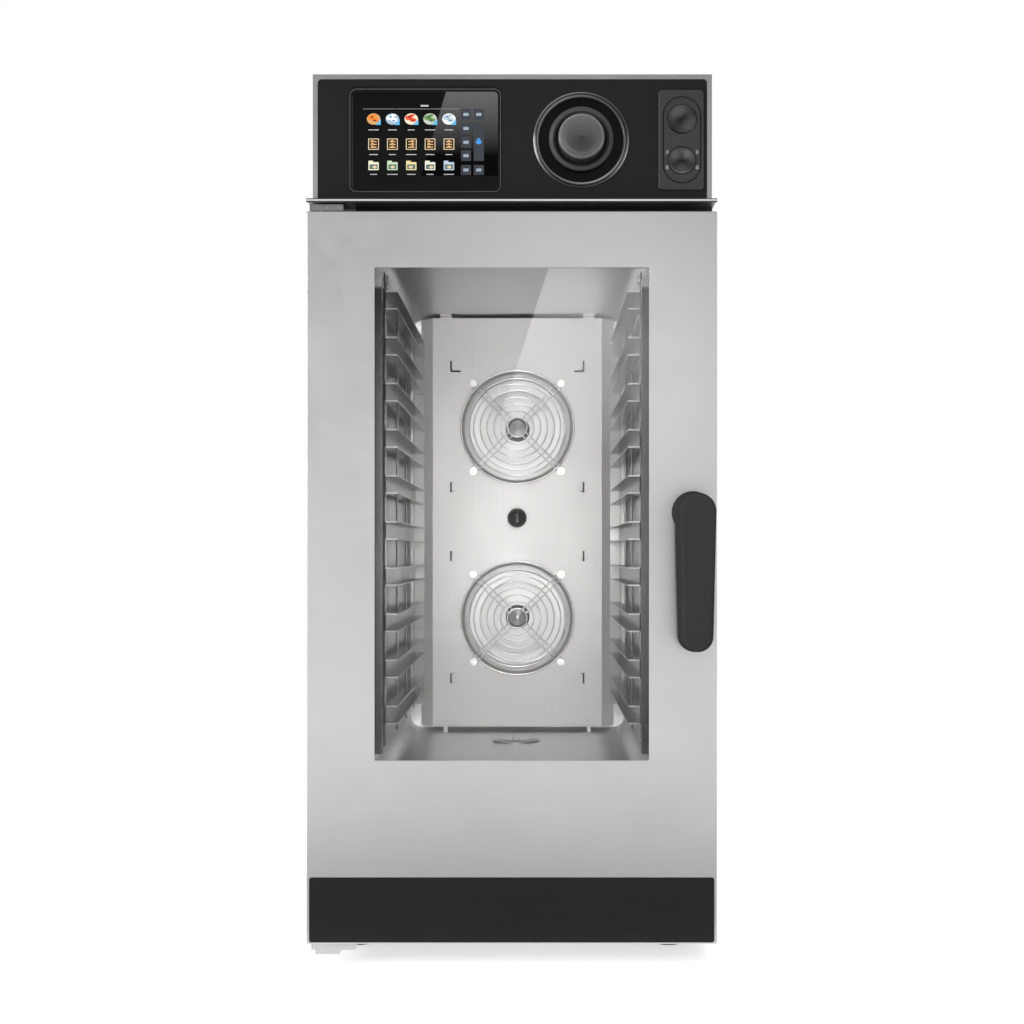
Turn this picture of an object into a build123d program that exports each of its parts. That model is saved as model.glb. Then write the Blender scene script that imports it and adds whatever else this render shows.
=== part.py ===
from build123d import *
from math import cos, radians, sin
import os

# A compact combi steamer oven for ten trays. Millimetres, +Z up, front towards -Y, hinges on the left (-X).
# The origin is on the floor, in the middle of the overall width and depth.

# Overall sizes
HALF_WIDTH = 255.0
BODY_TOP = 1128.0
BODY_BOTTOM = 30.0
DOOR_FRONT = -380.0
DOOR_BACK = -330.0
BODY_FRONT = -321.0
BODY_BACK = 420.0
REAR_FITTINGS = 445.0
SHEET = 1.5

# Door
DOOR_BOTTOM = 31.0
DOOR_TOP = 940.8
WINDOW_HALF = 170.3
WINDOW_BOTTOM = 258.8
WINDOW_TOP = 870.9
BAND_HALF = 251.0
BAND_BOTTOM = 33.6
BAND_TOP = 113.4
HINGE_X = -237.0
HINGE_Y = -356.0
PIN_RADIUS = 5.0

# Handle
HANDLE_X = 225.0
HANDLE_Z = 566.8
HANDLE_FRONT = -445.0
HANDLE_LOW = 415.9
GRIP_DEPTH = 48.0
ROSETTE_RADIUS = 26.5

# Cavity
CAVITY_HALF = 178.0
CAVITY_FLOOR = 225.0
CAVITY_TOP = 904.5
CAVITY_BACK = 315.0
LINER = 2.0
INSULATION = 28.0
DRAIN_Y = 115.0
FAN_HEIGHTS = (721.0, 410.0)
BAFFLE_Y = 253.0
BAFFLE_HALF = 138.0

# Racks
LEVELS = 10
PITCH = 60.0
LOWEST_TRAY = 295.1
CHANNEL_HEIGHT = 22.5
RACK_FRONT = -282.0
RACK_BACK = 240.0
RACK_WALL = 165.0
RACK_INNER = 150.0

# Control panel
VISOR_TOP = 957.0
VISOR_BOTTOM = 952.0
PANEL_FRONT = -320.4
PANEL_BACK = -316.4
DISPLAY = (-205.0, -18.0, 981.3, 1106.5)
KNOB_X = 87.8
KNOB_Z = 1044.3
PLATE = (186.5, 244.3, 979.8, 1107.7)
DISC_X = 216.5
BUTTON_Z = 1070.3
PROBE_Z = 1017.8
DISC_RADIUS = 18.8
KNOB_FRONT = -341.5
KNOB_BACK = -321.7
KNOB_RADIUS = 29.4
SKIRT_RADIUS = 41.6
RUNNING = 0.05


def front_plane(y):
    """Sketch plane facing the front at depth y: sketch x is X, sketch y is Z."""
    return Plane.XZ.offset(-y)


def limits(x0, x1, z0, z1, radius=0.0, mode=Mode.ADD):
    """Rectangle between four limits on the sketch plane, with rounded corners if a radius is given."""
    with Locations(((x0 + x1) / 2, (z0 + z1) / 2)):
        if radius > 0:
            RectangleRounded(x1 - x0, z1 - z0, radius, mode=mode)
        else:
            Rectangle(x1 - x0, z1 - z0, mode=mode)


def slab(x0, x1, y0, y1, z0, z1, radius=0.0, mode=Mode.ADD):
    """Plate between six limits, its rounded corners seen from the front."""
    with BuildSketch(front_plane(y1)) as outline:
        limits(x0, x1, z0, z1, radius)
    extrude(outline.sketch, amount=y1 - y0, mode=mode)


def ring_slab(outer, inner, y0, y1, outer_radius=0.0, inner_radius=0.0):
    """Flat frame between two sets of limits, seen from the front."""
    with BuildSketch(front_plane(y1)) as outline:
        limits(*outer, outer_radius)
        limits(*inner, inner_radius, mode=Mode.SUBTRACT)
    extrude(outline.sketch, amount=y1 - y0)


def rod(x, z, y0, y1, radius, mode=Mode.ADD):
    """Round bar or bore along Y."""
    with BuildSketch(front_plane(y1)) as outline:
        with Locations((x, z)):
            Circle(radius)
    extrude(outline.sketch, amount=y1 - y0, mode=mode)


def post(x, y, z0, z1, radius, mode=Mode.ADD):
    """Round bar or bore along Z."""
    with BuildSketch(Plane.XY.offset(z0)) as outline:
        with Locations((x, y)):
            Circle(radius)
    extrude(outline.sketch, amount=z1 - z0, mode=mode)


def crossbar(x0, x1, y, z, radius, mode=Mode.ADD):
    """Round bar or bore along X."""
    with BuildSketch(Plane.YZ.offset(x0)) as outline:
        with Locations((y, z)):
            Circle(radius)
    extrude(outline.sketch, amount=x1 - x0, mode=mode)


def turned(x, z, profile):
    """Turned part about a front-to-back axis, from (radius, y) points."""
    with BuildSketch(Plane.XY.offset(z)) as outline:
        with BuildLine():
            Polyline(*[(x + r, y) for r, y in profile], close=True)
        make_face()
    revolve(outline.sketch, axis=Axis((x, 0, z), (0, 1, 0)))


def hoop(x, y, z, radius, wire):
    """Round wire hoop in a plane facing the front."""
    with BuildSketch(Plane.XY.offset(z)) as outline:
        with Locations((x + radius, y)):
            Circle(wire)
    revolve(outline.sketch, axis=Axis((x, 0, z), (0, 1, 0)))


def save(piece, name):
    """Labels a finished piece and writes it."""
    piece.part.label = name
    export_step(piece.part, f"parts/{name}.step")


os.makedirs("parts", exist_ok=True)

INSIDE = (-CAVITY_HALF, CAVITY_HALF, CAVITY_FLOOR, CAVITY_TOP)
SHELL = (-CAVITY_HALF - LINER, CAVITY_HALF + LINER, CAVITY_FLOOR - LINER, CAVITY_TOP + LINER)
BODY_SIDE = HALF_WIDTH - SHEET
FRAME_BACK = BODY_FRONT + SHEET
REAR_INNER = BODY_BACK - SHEET
TOP_INNER = BODY_TOP - SHEET
SHELL_BACK = CAVITY_BACK + LINER
VENT = (110.0, 286.0)
VENT_RADIUS = 20.0
DRAIN_RADIUS = 20.0
DRAIN_PIPE_Z = 70.0
HEATER_RADIUS = 104.0
HEATER_LEG = 18.0
HEATER_DROP = (HEATER_RADIUS**2 - HEATER_LEG**2) ** 0.5
INJECTOR_X = 128.0
PROBE = (168.0, 560.0)
STUD_RADIUS = 4.0
STUD_Z = 874.0
STUD_HEAD = RACK_WALL + 1.1
STUD_YS = (RACK_FRONT + 12, RACK_BACK - 12)
RACK_LIFT = 8.0
FOOT_XS = (-205.0, 205.0)
FOOT_YS = (-235.0, 370.0)
SHELF_Z = CAVITY_TOP + LINER + INSULATION

# Body: base, panels and front frame

with BuildPart() as base_frame:
    slab(-BODY_SIDE, BODY_SIDE, FRAME_BACK, REAR_INNER, BODY_BOTTOM, BODY_BOTTOM + LINER)
    for side in (-1, 1):
        edge = side * (BODY_SIDE - LINER / 2)
        slab(edge - 1, edge + 1, FRAME_BACK, REAR_INNER, BODY_BOTTOM, 62)
    for rail_y in (-220.0, 240.0):
        for wall_y in (rail_y, rail_y + 30):
            slab(-200, 200, wall_y, wall_y + LINER, BODY_BOTTOM, CAVITY_FLOOR - LINER - INSULATION)
    rod(0, DRAIN_PIPE_Z, 200, 300, DRAIN_RADIUS + 1, mode=Mode.SUBTRACT)
    for foot_x in FOOT_XS:
        for foot_y in FOOT_YS:
            post(foot_x, foot_y, BODY_BOTTOM, BODY_BOTTOM + LINER, 5.2, mode=Mode.SUBTRACT)
save(base_frame, "base_frame")

with BuildPart() as feet:
    for foot_x in FOOT_XS:
        for foot_y in FOOT_YS:
            post(foot_x, foot_y, 0, 9, 22)
            post(foot_x, foot_y, 9, BODY_BOTTOM, 11)
            post(foot_x, foot_y, BODY_BOTTOM, 46, 5)
    fillet(feet.edges().filter_by(GeomType.CIRCLE).group_by(Axis.Z)[1], radius=2)
save(feet, "feet")

for side, name in ((-1, "left_side_panel"), (1, "right_side_panel")):
    with BuildPart() as side_panel:
        outer_x = sorted((side * BODY_SIDE, side * HALF_WIDTH))
        slab(*outer_x, FRAME_BACK, REAR_INNER, BODY_BOTTOM, TOP_INNER)
        front_fold = sorted((side * (BODY_SIDE - 6), side * HALF_WIDTH))
        slab(*front_fold, FRAME_BACK, FRAME_BACK + SHEET, 64, VISOR_TOP)
        rear_fold = sorted((side * (BODY_SIDE - 12), side * HALF_WIDTH))
        slab(*rear_fold, REAR_INNER - SHEET, REAR_INNER, 64, TOP_INNER)
        with BuildSketch(Plane.YZ.offset(outer_x[0] - 1)):
            with Locations((250, 150), (250, 1040)):
                with GridLocations(14, 0, 12, 1):
                    SlotOverall(60, 5, rotation=90)
        extrude(amount=SHEET + 2, mode=Mode.SUBTRACT)
    save(side_panel, name)

with BuildPart() as top_panel:
    slab(-HALF_WIDTH, HALF_WIDTH, BODY_FRONT, BODY_BACK, TOP_INNER, BODY_TOP)
    post(*VENT, TOP_INNER, BODY_TOP, VENT_RADIUS + 1, mode=Mode.SUBTRACT)
    with BuildSketch(Plane.XY.offset(TOP_INNER)):
        with Locations((-110, 300)):
            with GridLocations(14, 0, 14, 1):
                SlotOverall(90, 5, rotation=90)
    extrude(amount=SHEET, mode=Mode.SUBTRACT)
save(top_panel, "top_panel")

COOLING = (-120.0, 1040.0)
VALVES = (150.0, 205.0)
VALVE_Z = 112.0
GLAND = (-190.0, 110.0)
with BuildPart() as rear_panel:
    slab(-HALF_WIDTH, HALF_WIDTH, REAR_INNER, BODY_BACK, BODY_BOTTOM, TOP_INNER)
    with BuildSketch(front_plane(BODY_BACK)):
        with Locations(COOLING):
            with GridLocations(11, 11, 7, 7):
                Circle(3.6)
        for valve_x in VALVES:
            with Locations((valve_x, VALVE_Z)):
                Circle(14)
        with Locations(GLAND):
            Circle(13)
        with Locations((0, DRAIN_PIPE_Z)):
            Circle(DRAIN_RADIUS + 1)
        with Locations((0, 300), (0, 640)):
            with GridLocations(14, 0, 16, 1):
                SlotOverall(70, 5, rotation=90)
    extrude(amount=SHEET, mode=Mode.SUBTRACT)
save(rear_panel, "rear_panel")

LATCH_SLOT = (204.0, 246.0, HANDLE_Z - 15.0, HANDLE_Z + 14.0)
with BuildPart() as front_frame:
    ring_slab((-HALF_WIDTH, HALF_WIDTH, BODY_BOTTOM, VISOR_TOP), INSIDE, BODY_FRONT, FRAME_BACK, 0, 20)
    slot_left, slot_right, slot_bottom, slot_top = LATCH_SLOT
    slab(slot_left, slot_right, BODY_FRONT, FRAME_BACK, slot_bottom, slot_top, 3, mode=Mode.SUBTRACT)
save(front_frame, "front_frame")

with BuildPart() as door_keeper:
    slab(215, 246, FRAME_BACK, FRAME_BACK + 5, LATCH_SLOT[2] - 40, LATCH_SLOT[2], 2)
    with BuildSketch(front_plane(FRAME_BACK + 5)):
        with Locations((233, LATCH_SLOT[2] - 12), (233, LATCH_SLOT[2] - 30)):
            Circle(3)
    extrude(amount=5, mode=Mode.SUBTRACT)
save(door_keeper, "door_keeper")

# Cavity

with BuildPart() as cavity_liner:
    slab(*SHELL[:2], FRAME_BACK, SHELL_BACK, *SHELL[2:], 22)
    slab(-201, 201, FRAME_BACK, FRAME_BACK + SHEET, SHELL[2] - 20, SHELL[3] + 20)
    slab(*INSIDE[:2], FRAME_BACK, CAVITY_BACK, *INSIDE[2:], 20, mode=Mode.SUBTRACT)
    for fan_z in FAN_HEIGHTS:
        rod(0, fan_z, CAVITY_BACK, SHELL_BACK, 9, mode=Mode.SUBTRACT)
        for leg in (-HEATER_LEG, HEATER_LEG):
            rod(leg, fan_z - HEATER_DROP, CAVITY_BACK, SHELL_BACK, 4.1, mode=Mode.SUBTRACT)
    rod(INJECTOR_X, 565, CAVITY_BACK, SHELL_BACK, 4.1, mode=Mode.SUBTRACT)
    rod(*PROBE, CAVITY_BACK, SHELL_BACK, 3.1, mode=Mode.SUBTRACT)
    post(*VENT, CAVITY_TOP, SHELL[3], VENT_RADIUS, mode=Mode.SUBTRACT)
    post(0, DRAIN_Y, SHELL[2], CAVITY_FLOOR, DRAIN_RADIUS, mode=Mode.SUBTRACT)
    for stud_y in STUD_YS:
        crossbar(-CAVITY_HALF - 0.5, -STUD_HEAD, stud_y, STUD_Z, STUD_RADIUS)
        crossbar(STUD_HEAD, CAVITY_HALF + 0.5, stud_y, STUD_Z, STUD_RADIUS)
        crossbar(-STUD_HEAD, -STUD_HEAD + 3, stud_y, STUD_Z, STUD_RADIUS + 3)
        crossbar(STUD_HEAD - 3, STUD_HEAD, stud_y, STUD_Z, STUD_RADIUS + 3)
save(cavity_liner, "cavity_liner")

with BuildPart() as cavity_insulation:
    slab(
        SHELL[0] - INSULATION, SHELL[1] + INSULATION, FRAME_BACK + SHEET, SHELL_BACK + 25,
        SHELL[2] - INSULATION, SHELL[3] + INSULATION, 10,
    )
    slab(*SHELL[:2], FRAME_BACK, SHELL_BACK, *SHELL[2:], 22, mode=Mode.SUBTRACT)
    for fan_z in FAN_HEIGHTS:
        rod(0, fan_z, SHELL_BACK, SHELL_BACK + 25, 62, mode=Mode.SUBTRACT)
        for leg in (-HEATER_LEG, HEATER_LEG):
            rod(leg, fan_z - HEATER_DROP, SHELL_BACK, SHELL_BACK + 25, 6, mode=Mode.SUBTRACT)
    rod(INJECTOR_X, 565, SHELL_BACK, SHELL_BACK + 25, 6, mode=Mode.SUBTRACT)
    rod(*PROBE, SHELL_BACK, SHELL_BACK + 25, 6, mode=Mode.SUBTRACT)
    post(*VENT, SHELL[3], SHELL[3] + INSULATION, VENT_RADIUS + 1.5, mode=Mode.SUBTRACT)
    post(0, DRAIN_Y, SHELL[2] - INSULATION, SHELL[2], DRAIN_RADIUS + 13, mode=Mode.SUBTRACT)
save(cavity_insulation, "cavity_insulation")

with BuildPart() as door_gasket:
    ring_slab((-197, 197, 206, 923), (-184, 184, 219, 910), -329.4, BODY_FRONT, 28, 16)
    fillet(door_gasket.faces().sort_by(Axis.Y)[0].edges(), radius=3)
save(door_gasket, "door_gasket")

with BuildPart() as drain_pipe:
    with BuildLine() as drain_run:
        drain_elbow = (0, DRAIN_Y, DRAIN_PIPE_Z)
        FilletPolyline((0, DRAIN_Y, SHELL[2]), drain_elbow, (0, REAR_FITTINGS, DRAIN_PIPE_Z), radius=34)
    with BuildSketch(Plane.XY.offset(SHELL[2])):
        with Locations((0, DRAIN_Y)):
            Circle(DRAIN_RADIUS)
            Circle(DRAIN_RADIUS - 1.5, mode=Mode.SUBTRACT)
    sweep(path=drain_run.line)
    with BuildSketch(Plane.XY.offset(SHELL[2] - 3)):
        with Locations((0, DRAIN_Y)):
            Circle(DRAIN_RADIUS + 12)
            Circle(DRAIN_RADIUS - 1.5, mode=Mode.SUBTRACT)
    extrude(amount=3)
save(drain_pipe, "drain_pipe")

with BuildPart() as drain_strainer:
    with BuildSketch(Plane.XZ.offset(-DRAIN_Y)):
        with BuildLine():
            Polyline(
                (0, CAVITY_FLOOR + 5), (30, CAVITY_FLOOR + 5), (36.5, CAVITY_FLOOR + 2), (36.5, CAVITY_FLOOR),
                (32, CAVITY_FLOOR), (28, CAVITY_FLOOR + 3.4), (17.9, CAVITY_FLOOR + 3.4),
                (17.9, CAVITY_FLOOR - 10), (16.5, CAVITY_FLOOR - 10), (16.5, CAVITY_FLOOR + 3.4),
                (0, CAVITY_FLOOR + 3.4), close=True,
            )
        make_face()
    revolve(axis=Axis((0, DRAIN_Y, 0), (0, 0, 1)))
    with BuildSketch(Plane.XY.offset(CAVITY_FLOOR)):
        with Locations((0, DRAIN_Y)):
            with PolarLocations(10, 6):
                SlotOverall(10, 3)
            with PolarLocations(25, 12, start_angle=15):
                SlotOverall(8, 3)
    extrude(amount=6, mode=Mode.SUBTRACT)
save(drain_strainer, "drain_strainer")

with BuildPart() as steam_vent:
    post(*VENT, SHELL[3], 1150, VENT_RADIUS)
    post(*VENT, BODY_TOP, BODY_TOP + 2, VENT_RADIUS + 10)
    post(*VENT, SHELL[3], 1150, VENT_RADIUS - 1.5, mode=Mode.SUBTRACT)
save(steam_vent, "steam_vent")

with BuildPart() as cavity_probe:
    rod(*PROBE, 262, 360, 3)
    rod(*PROBE, SHELL_BACK, SHELL_BACK + 6, 5.5)
    fillet(cavity_probe.edges().filter_by(GeomType.CIRCLE).group_by(Axis.Y)[0], radius=2)
save(cavity_probe, "cavity_probe")

with BuildPart() as water_injector:
    post(INJECTOR_X, 288, FAN_HEIGHTS[1], FAN_HEIGHTS[0], 4)
    rod(INJECTOR_X, 565, 288, 370, 4)
    for fan_z in FAN_HEIGHTS:
        crossbar(INJECTOR_X - 12, INJECTOR_X + 5, 288, fan_z, 5)
save(water_injector, "water_injector")

# Air system behind the baffle

TAB_X = 106.0
TAB_ZS = (822.0, 624.0, 511.5, 312.0)
CLIP_X = 116.5
KNOB_BAFFLE_Z = 573.0
with BuildPart() as baffle:
    with BuildSketch(Plane.XY.offset(CAVITY_FLOOR + 9)):
        with BuildLine():
            Polyline(
                (-158, BAFFLE_Y + 20), (-BAFFLE_HALF, BAFFLE_Y), (BAFFLE_HALF, BAFFLE_Y), (158, BAFFLE_Y + 20),
                (156.9, BAFFLE_Y + 21.1), (BAFFLE_HALF - 0.6, BAFFLE_Y + SHEET),
                (-BAFFLE_HALF + 0.6, BAFFLE_Y + SHEET), (-156.9, BAFFLE_Y + 21.1), close=True,
            )
        make_face()
    extrude(amount=CAVITY_TOP - CAVITY_FLOOR - 14)
    for fan_z in FAN_HEIGHTS:
        nozzle = ((77, BAFFLE_Y), (92, BAFFLE_Y), (86, BAFFLE_Y - 4), (79, BAFFLE_Y - 5), (77, BAFFLE_Y - 3))
        turned(0, fan_z, nozzle)
        rod(0, fan_z, BAFFLE_Y - 6, BAFFLE_Y + SHEET, 77, mode=Mode.SUBTRACT)
    for side in (-1, 1):
        for tab_z in TAB_ZS:
            tab_x = side * TAB_X
            slab(tab_x - 3, tab_x + 3, BAFFLE_Y, BAFFLE_Y + SHEET, tab_z - 8, tab_z + 8, mode=Mode.SUBTRACT)
        rod(side * CLIP_X, CAVITY_FLOOR + 16, BAFFLE_Y, BAFFLE_Y + SHEET, 4.2, mode=Mode.SUBTRACT)
    rod(0, KNOB_BAFFLE_Z, BAFFLE_Y, BAFFLE_Y + SHEET, 5.2, mode=Mode.SUBTRACT)
save(baffle, "baffle")

with BuildPart() as baffle_fasteners:
    for side in (-1, 1):
        for tab_z in TAB_ZS:
            tab_x = side * TAB_X
            slab(tab_x - 0.8, tab_x + 0.8, BAFFLE_Y - 2.5, CAVITY_BACK, tab_z - 6.5, tab_z + 6.5)
            tab = sorted((side * (TAB_X - 13), side * (TAB_X + 0.8)))
            slab(*tab, BAFFLE_Y - 2.5, BAFFLE_Y - 1, tab_z - 6.5, tab_z + 6.5)
        rod(side * CLIP_X, CAVITY_FLOOR + 16, BAFFLE_Y - 6, CAVITY_BACK, 4)
        rod(side * CLIP_X, CAVITY_FLOOR + 16, BAFFLE_Y - 4, BAFFLE_Y - 1, 7)
        foot_x = side * CLIP_X
        slab(foot_x - 3, foot_x + 3, BAFFLE_Y - 11, BAFFLE_Y - 5, CAVITY_FLOOR, CAVITY_FLOOR + 18, 1)
        slab(side * CLIP_X - 9, side * CLIP_X + 9, BAFFLE_Y - 14, BAFFLE_Y + 6, CAVITY_TOP - 3, CAVITY_TOP)
        slab(side * CLIP_X - 9, side * CLIP_X + 9, BAFFLE_Y - 2, BAFFLE_Y, CAVITY_TOP - 16, CAVITY_TOP)
    rod(0, KNOB_BAFFLE_Z, BAFFLE_Y - 12, CAVITY_BACK, 5)
save(baffle_fasteners, "baffle_fasteners")

with BuildPart() as baffle_knob:
    ball = ((0, -29), (7, -27.5), (12.5, -23.5), (15.5, -17.5), (15.5, -12), (12.5, -6), (8, -2.5), (8, -0.3), (0, -0.3))
    turned(0, KNOB_BAFFLE_Z, [(radius, BAFFLE_Y + y) for radius, y in ball])
    rod(0, KNOB_BAFFLE_Z, BAFFLE_Y - 13, BAFFLE_Y, 5 + RUNNING, mode=Mode.SUBTRACT)
save(baffle_knob, "baffle_knob")

GUARD_Y = BAFFLE_Y - 9
HOOPS = (16.0, 27.0, 38.0, 49.0, 60.0, 70.0, 79.0, 92.0)
WIRE = 1.2
ARM_GAP = 4.2
ARM_START = 15.2
ARM_END = 101.0
MOTOR_BACK = 412.0
for fan_z, place in zip(FAN_HEIGHTS, ("upper", "lower")):
    with BuildPart() as fan_guard:
        for hoop_radius in HOOPS:
            hoop(0, GUARD_Y, fan_z, hoop_radius, WIRE)
        for angle in range(45, 360, 90):
            along = Vector(cos(radians(angle)), 0, sin(radians(angle)))
            across = Vector(-sin(radians(angle)), 0, cos(radians(angle)))
            for side in (-1, 1):
                start = Vector(0, GUARD_Y + 1.9, fan_z) + along * ARM_START + across * (side * ARM_GAP)
                with BuildSketch(Plane(origin=start, z_dir=along)):
                    Circle(WIRE)
                extrude(amount=ARM_END - ARM_START)
            tip = Vector(0, 0, fan_z) + along * ARM_END
            rod(tip.X, tip.Z, GUARD_Y + 0.3, GUARD_Y + 3.5, ARM_GAP + 1.6)
            rod(tip.X, tip.Z, GUARD_Y, BAFFLE_Y, 3.4)
            rod(tip.X, tip.Z, GUARD_Y - 1.2, GUARD_Y + 1, 2.6)
    save(fan_guard, f"{place}_fan_guard")

    with BuildPart() as impeller:
        turned(0, fan_z, ((0, 303), (84, 303), (84, 305), (0, 305)))
        turned(0, fan_z, ((62, 261), (84, 261), (84, 263), (62, 263)))
        turned(0, fan_z, ((0, 284), (14, 288), (20, 303), (0, 303)))
        for blade in range(18):
            angle = radians(20 * blade)
            middle = (73 * cos(angle), 73 * sin(angle))
            with BuildSketch(front_plane(303)):
                with Locations(Location((middle[0], middle[1] + fan_z), 20 * blade + 35)):
                    Rectangle(22, 1.5)
            extrude(amount=40)
        rod(0, fan_z, 290, 345, 6)
    save(impeller, f"{place}_impeller")

    with BuildPart() as fan_motor:
        rod(0, fan_z, SHELL_BACK, SHELL_BACK + 8, 20)
        rod(0, fan_z, SHELL_BACK + 8, SHELL_BACK + 14, 58)
        rod(0, fan_z, SHELL_BACK + 14, MOTOR_BACK - 16, 46)
        rod(0, fan_z, MOTOR_BACK - 16, MOTOR_BACK, 40)
        with BuildSketch(front_plane(MOTOR_BACK - 24)):
            with Locations((0, fan_z)):
                with PolarLocations(46, 24):
                    Rectangle(7, 2.4)
        extrude(amount=50)
        with BuildSketch(front_plane(SHELL_BACK + 14)):
            with Locations((0, fan_z)):
                with PolarLocations(52, 4, start_angle=45):
                    Circle(3.2)
        extrude(amount=6, mode=Mode.SUBTRACT)
        rod(0, fan_z, SHELL_BACK, 347, 6 + RUNNING, mode=Mode.SUBTRACT)
    save(fan_motor, f"{place}_fan_motor")

    with BuildPart() as heater:
        for hoop_y in (270, 282, 294):
            hoop(0, hoop_y, fan_z, HEATER_RADIUS, 3.8)
        for leg in (-HEATER_LEG, HEATER_LEG):
            rod(leg, fan_z - HEATER_DROP, 270, 352, 3.6)
            rod(leg, fan_z - HEATER_DROP, SHELL_BACK, SHELL_BACK + 4, 5.6)
    save(heater, f"{place}_heater")

# Tray racks: channel runners on upright strips, hung on the liner's headed studs

UPRIGHT_YS = (RACK_FRONT, -95.0, 60.0, RACK_BACK - 22)
for side, name in ((-1, "left_rack"), (1, "right_rack")):
    with BuildPart() as rack:
        web = sorted((side * RACK_WALL, side * (RACK_WALL + SHEET)))
        flange = sorted((side * RACK_INNER, side * (RACK_WALL + SHEET)))
        for level in range(LEVELS):
            tray_z = LOWEST_TRAY + PITCH * level
            slab(*web, RACK_FRONT, RACK_BACK, tray_z - SHEET, tray_z + CHANNEL_HEIGHT)
            slab(*flange, RACK_FRONT, RACK_BACK, tray_z - SHEET, tray_z)
            slab(*flange, RACK_FRONT, RACK_BACK, tray_z + CHANNEL_HEIGHT - SHEET, tray_z + CHANNEL_HEIGHT)
        strip = sorted((side * (RACK_WALL + SHEET), side * (RACK_WALL + 2 * SHEET)))
        for upright_y in UPRIGHT_YS:
            slab(*strip, upright_y, upright_y + 22, 266, 882)
        edge = sorted((side * (RACK_WALL + SHEET), side * (RACK_WALL + 6)))
        slab(*edge, RACK_FRONT, RACK_FRONT + SHEET, 266, 861)
        stop = sorted((side * (RACK_INNER + 1), side * (RACK_WALL + SHEET)))
        slab(*stop, RACK_BACK - SHEET, RACK_BACK, 271, 872)
        for stud_y in STUD_YS:
            crossbar(strip[0], strip[1], stud_y, STUD_Z - RACK_LIFT, STUD_RADIUS + 3.6, mode=Mode.SUBTRACT)
            with BuildSketch(Plane.YZ.offset(strip[0])):
                with Locations((stud_y, STUD_Z - RACK_LIFT / 2)):
                    SlotOverall(RACK_LIFT + 2 * STUD_RADIUS + 0.3, 2 * STUD_RADIUS + 0.3, rotation=90)
            extrude(amount=SHEET, mode=Mode.SUBTRACT)
    save(rack, name)

# Door

FRAME_INNER = (-WINDOW_HALF - 10, WINDOW_HALF + 10, WINDOW_BOTTOM - 10, WINDOW_TOP + 10)
DOOR = (-HALF_WIDTH, HALF_WIDTH, DOOR_BOTTOM, DOOR_TOP)
DOOR_SHELL = (-HALF_WIDTH + SHEET, HALF_WIDTH - SHEET, DOOR_BOTTOM + SHEET, DOOR_TOP - SHEET)
GLASS = 4.0
BUSH_RADIUS = 9.0
with BuildPart() as door_outer_panel:
    slab(DOOR[0], DOOR[1], DOOR_FRONT, DOOR_BACK + 2, DOOR[2], DOOR[3], 2)
    fillet(door_outer_panel.faces().sort_by(Axis.Y)[0].edges(), radius=1.4)
    slab(*DOOR_SHELL[:2], DOOR_FRONT + SHEET, DOOR_BACK + 2, *DOOR_SHELL[2:], 1, mode=Mode.SUBTRACT)
    slab(*DOOR_SHELL[:2], DOOR_FRONT + SHEET, DOOR_FRONT + 6, DOOR_SHELL[2], BAND_TOP + 2)
    for half, cut_back, low, high, corner in (
        (BAND_HALF + 0.5, 4.5, BAND_BOTTOM - 0.5, BAND_TOP + 0.5, 3),
        (WINDOW_HALF, 3, WINDOW_BOTTOM, WINDOW_TOP, 1.5),
    ):
        slab(-half, half, DOOR_FRONT - 1, DOOR_FRONT + cut_back, low, high, corner, mode=Mode.SUBTRACT)
    rod(HANDLE_X, HANDLE_Z, DOOR_FRONT - 1, DOOR_FRONT + 3, 9, mode=Mode.SUBTRACT)
    for end_z in (DOOR_TOP - SHEET, DOOR_BOTTOM):
        post(HINGE_X, HINGE_Y, end_z, end_z + SHEET, BUSH_RADIUS + 0.1, mode=Mode.SUBTRACT)
save(door_outer_panel, "door_outer_panel")

with BuildPart() as lower_band_glass:
    slab(-BAND_HALF, BAND_HALF, DOOR_FRONT + 0.3, DOOR_FRONT + 4.5, BAND_BOTTOM, BAND_TOP, 2.6)
    fillet(lower_band_glass.faces().sort_by(Axis.Y)[0].edges(), radius=0.6)
save(lower_band_glass, "lower_band_glass")

with BuildPart() as outer_glass:
    slab(*FRAME_INNER[:2], DOOR_FRONT + SHEET, DOOR_FRONT + SHEET + GLASS, *FRAME_INNER[2:], 4)
save(outer_glass, "outer_glass")

LED_BACK = -356.0
for side, name in ((-1, "left_led_bar"), (1, "right_led_bar")):
    with BuildPart() as led_bar:
        bar = sorted((side * 162.0, side * 178.0))
        slab(*bar, DOOR_FRONT + SHEET + GLASS, LED_BACK, 266, 861, 2)
        window = sorted((side * 158.0, side * 166.0))
        slab(*window, DOOR_FRONT + SHEET + GLASS + 5, LED_BACK - 3, 300, 830, mode=Mode.SUBTRACT)
    save(led_bar, name)

INNER_GLASS = (-206.0, 206.0, 203.0, 927.0)
CLIP_XS = (-200.0, 200.0)
CLIP_ZS = (300.0, 565.0, 830.0)
with BuildPart() as inner_glass:
    slab(*INNER_GLASS[:2], DOOR_BACK - 5, DOOR_BACK, *INNER_GLASS[2:], 6)
    for clip_x in CLIP_XS:
        for clip_z in CLIP_ZS:
            rod(clip_x, clip_z, DOOR_BACK - 5, DOOR_BACK, 3.2, mode=Mode.SUBTRACT)
save(inner_glass, "inner_glass")

with BuildPart() as inner_glass_clips:
    for clip_x in CLIP_XS:
        for clip_z in CLIP_ZS:
            rod(clip_x, clip_z, DOOR_BACK - 12, DOOR_BACK, 3.1)
            rod(clip_x, clip_z, DOOR_BACK, DOOR_BACK + 1, 3.8)
save(inner_glass_clips, "inner_glass_clips")

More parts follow.
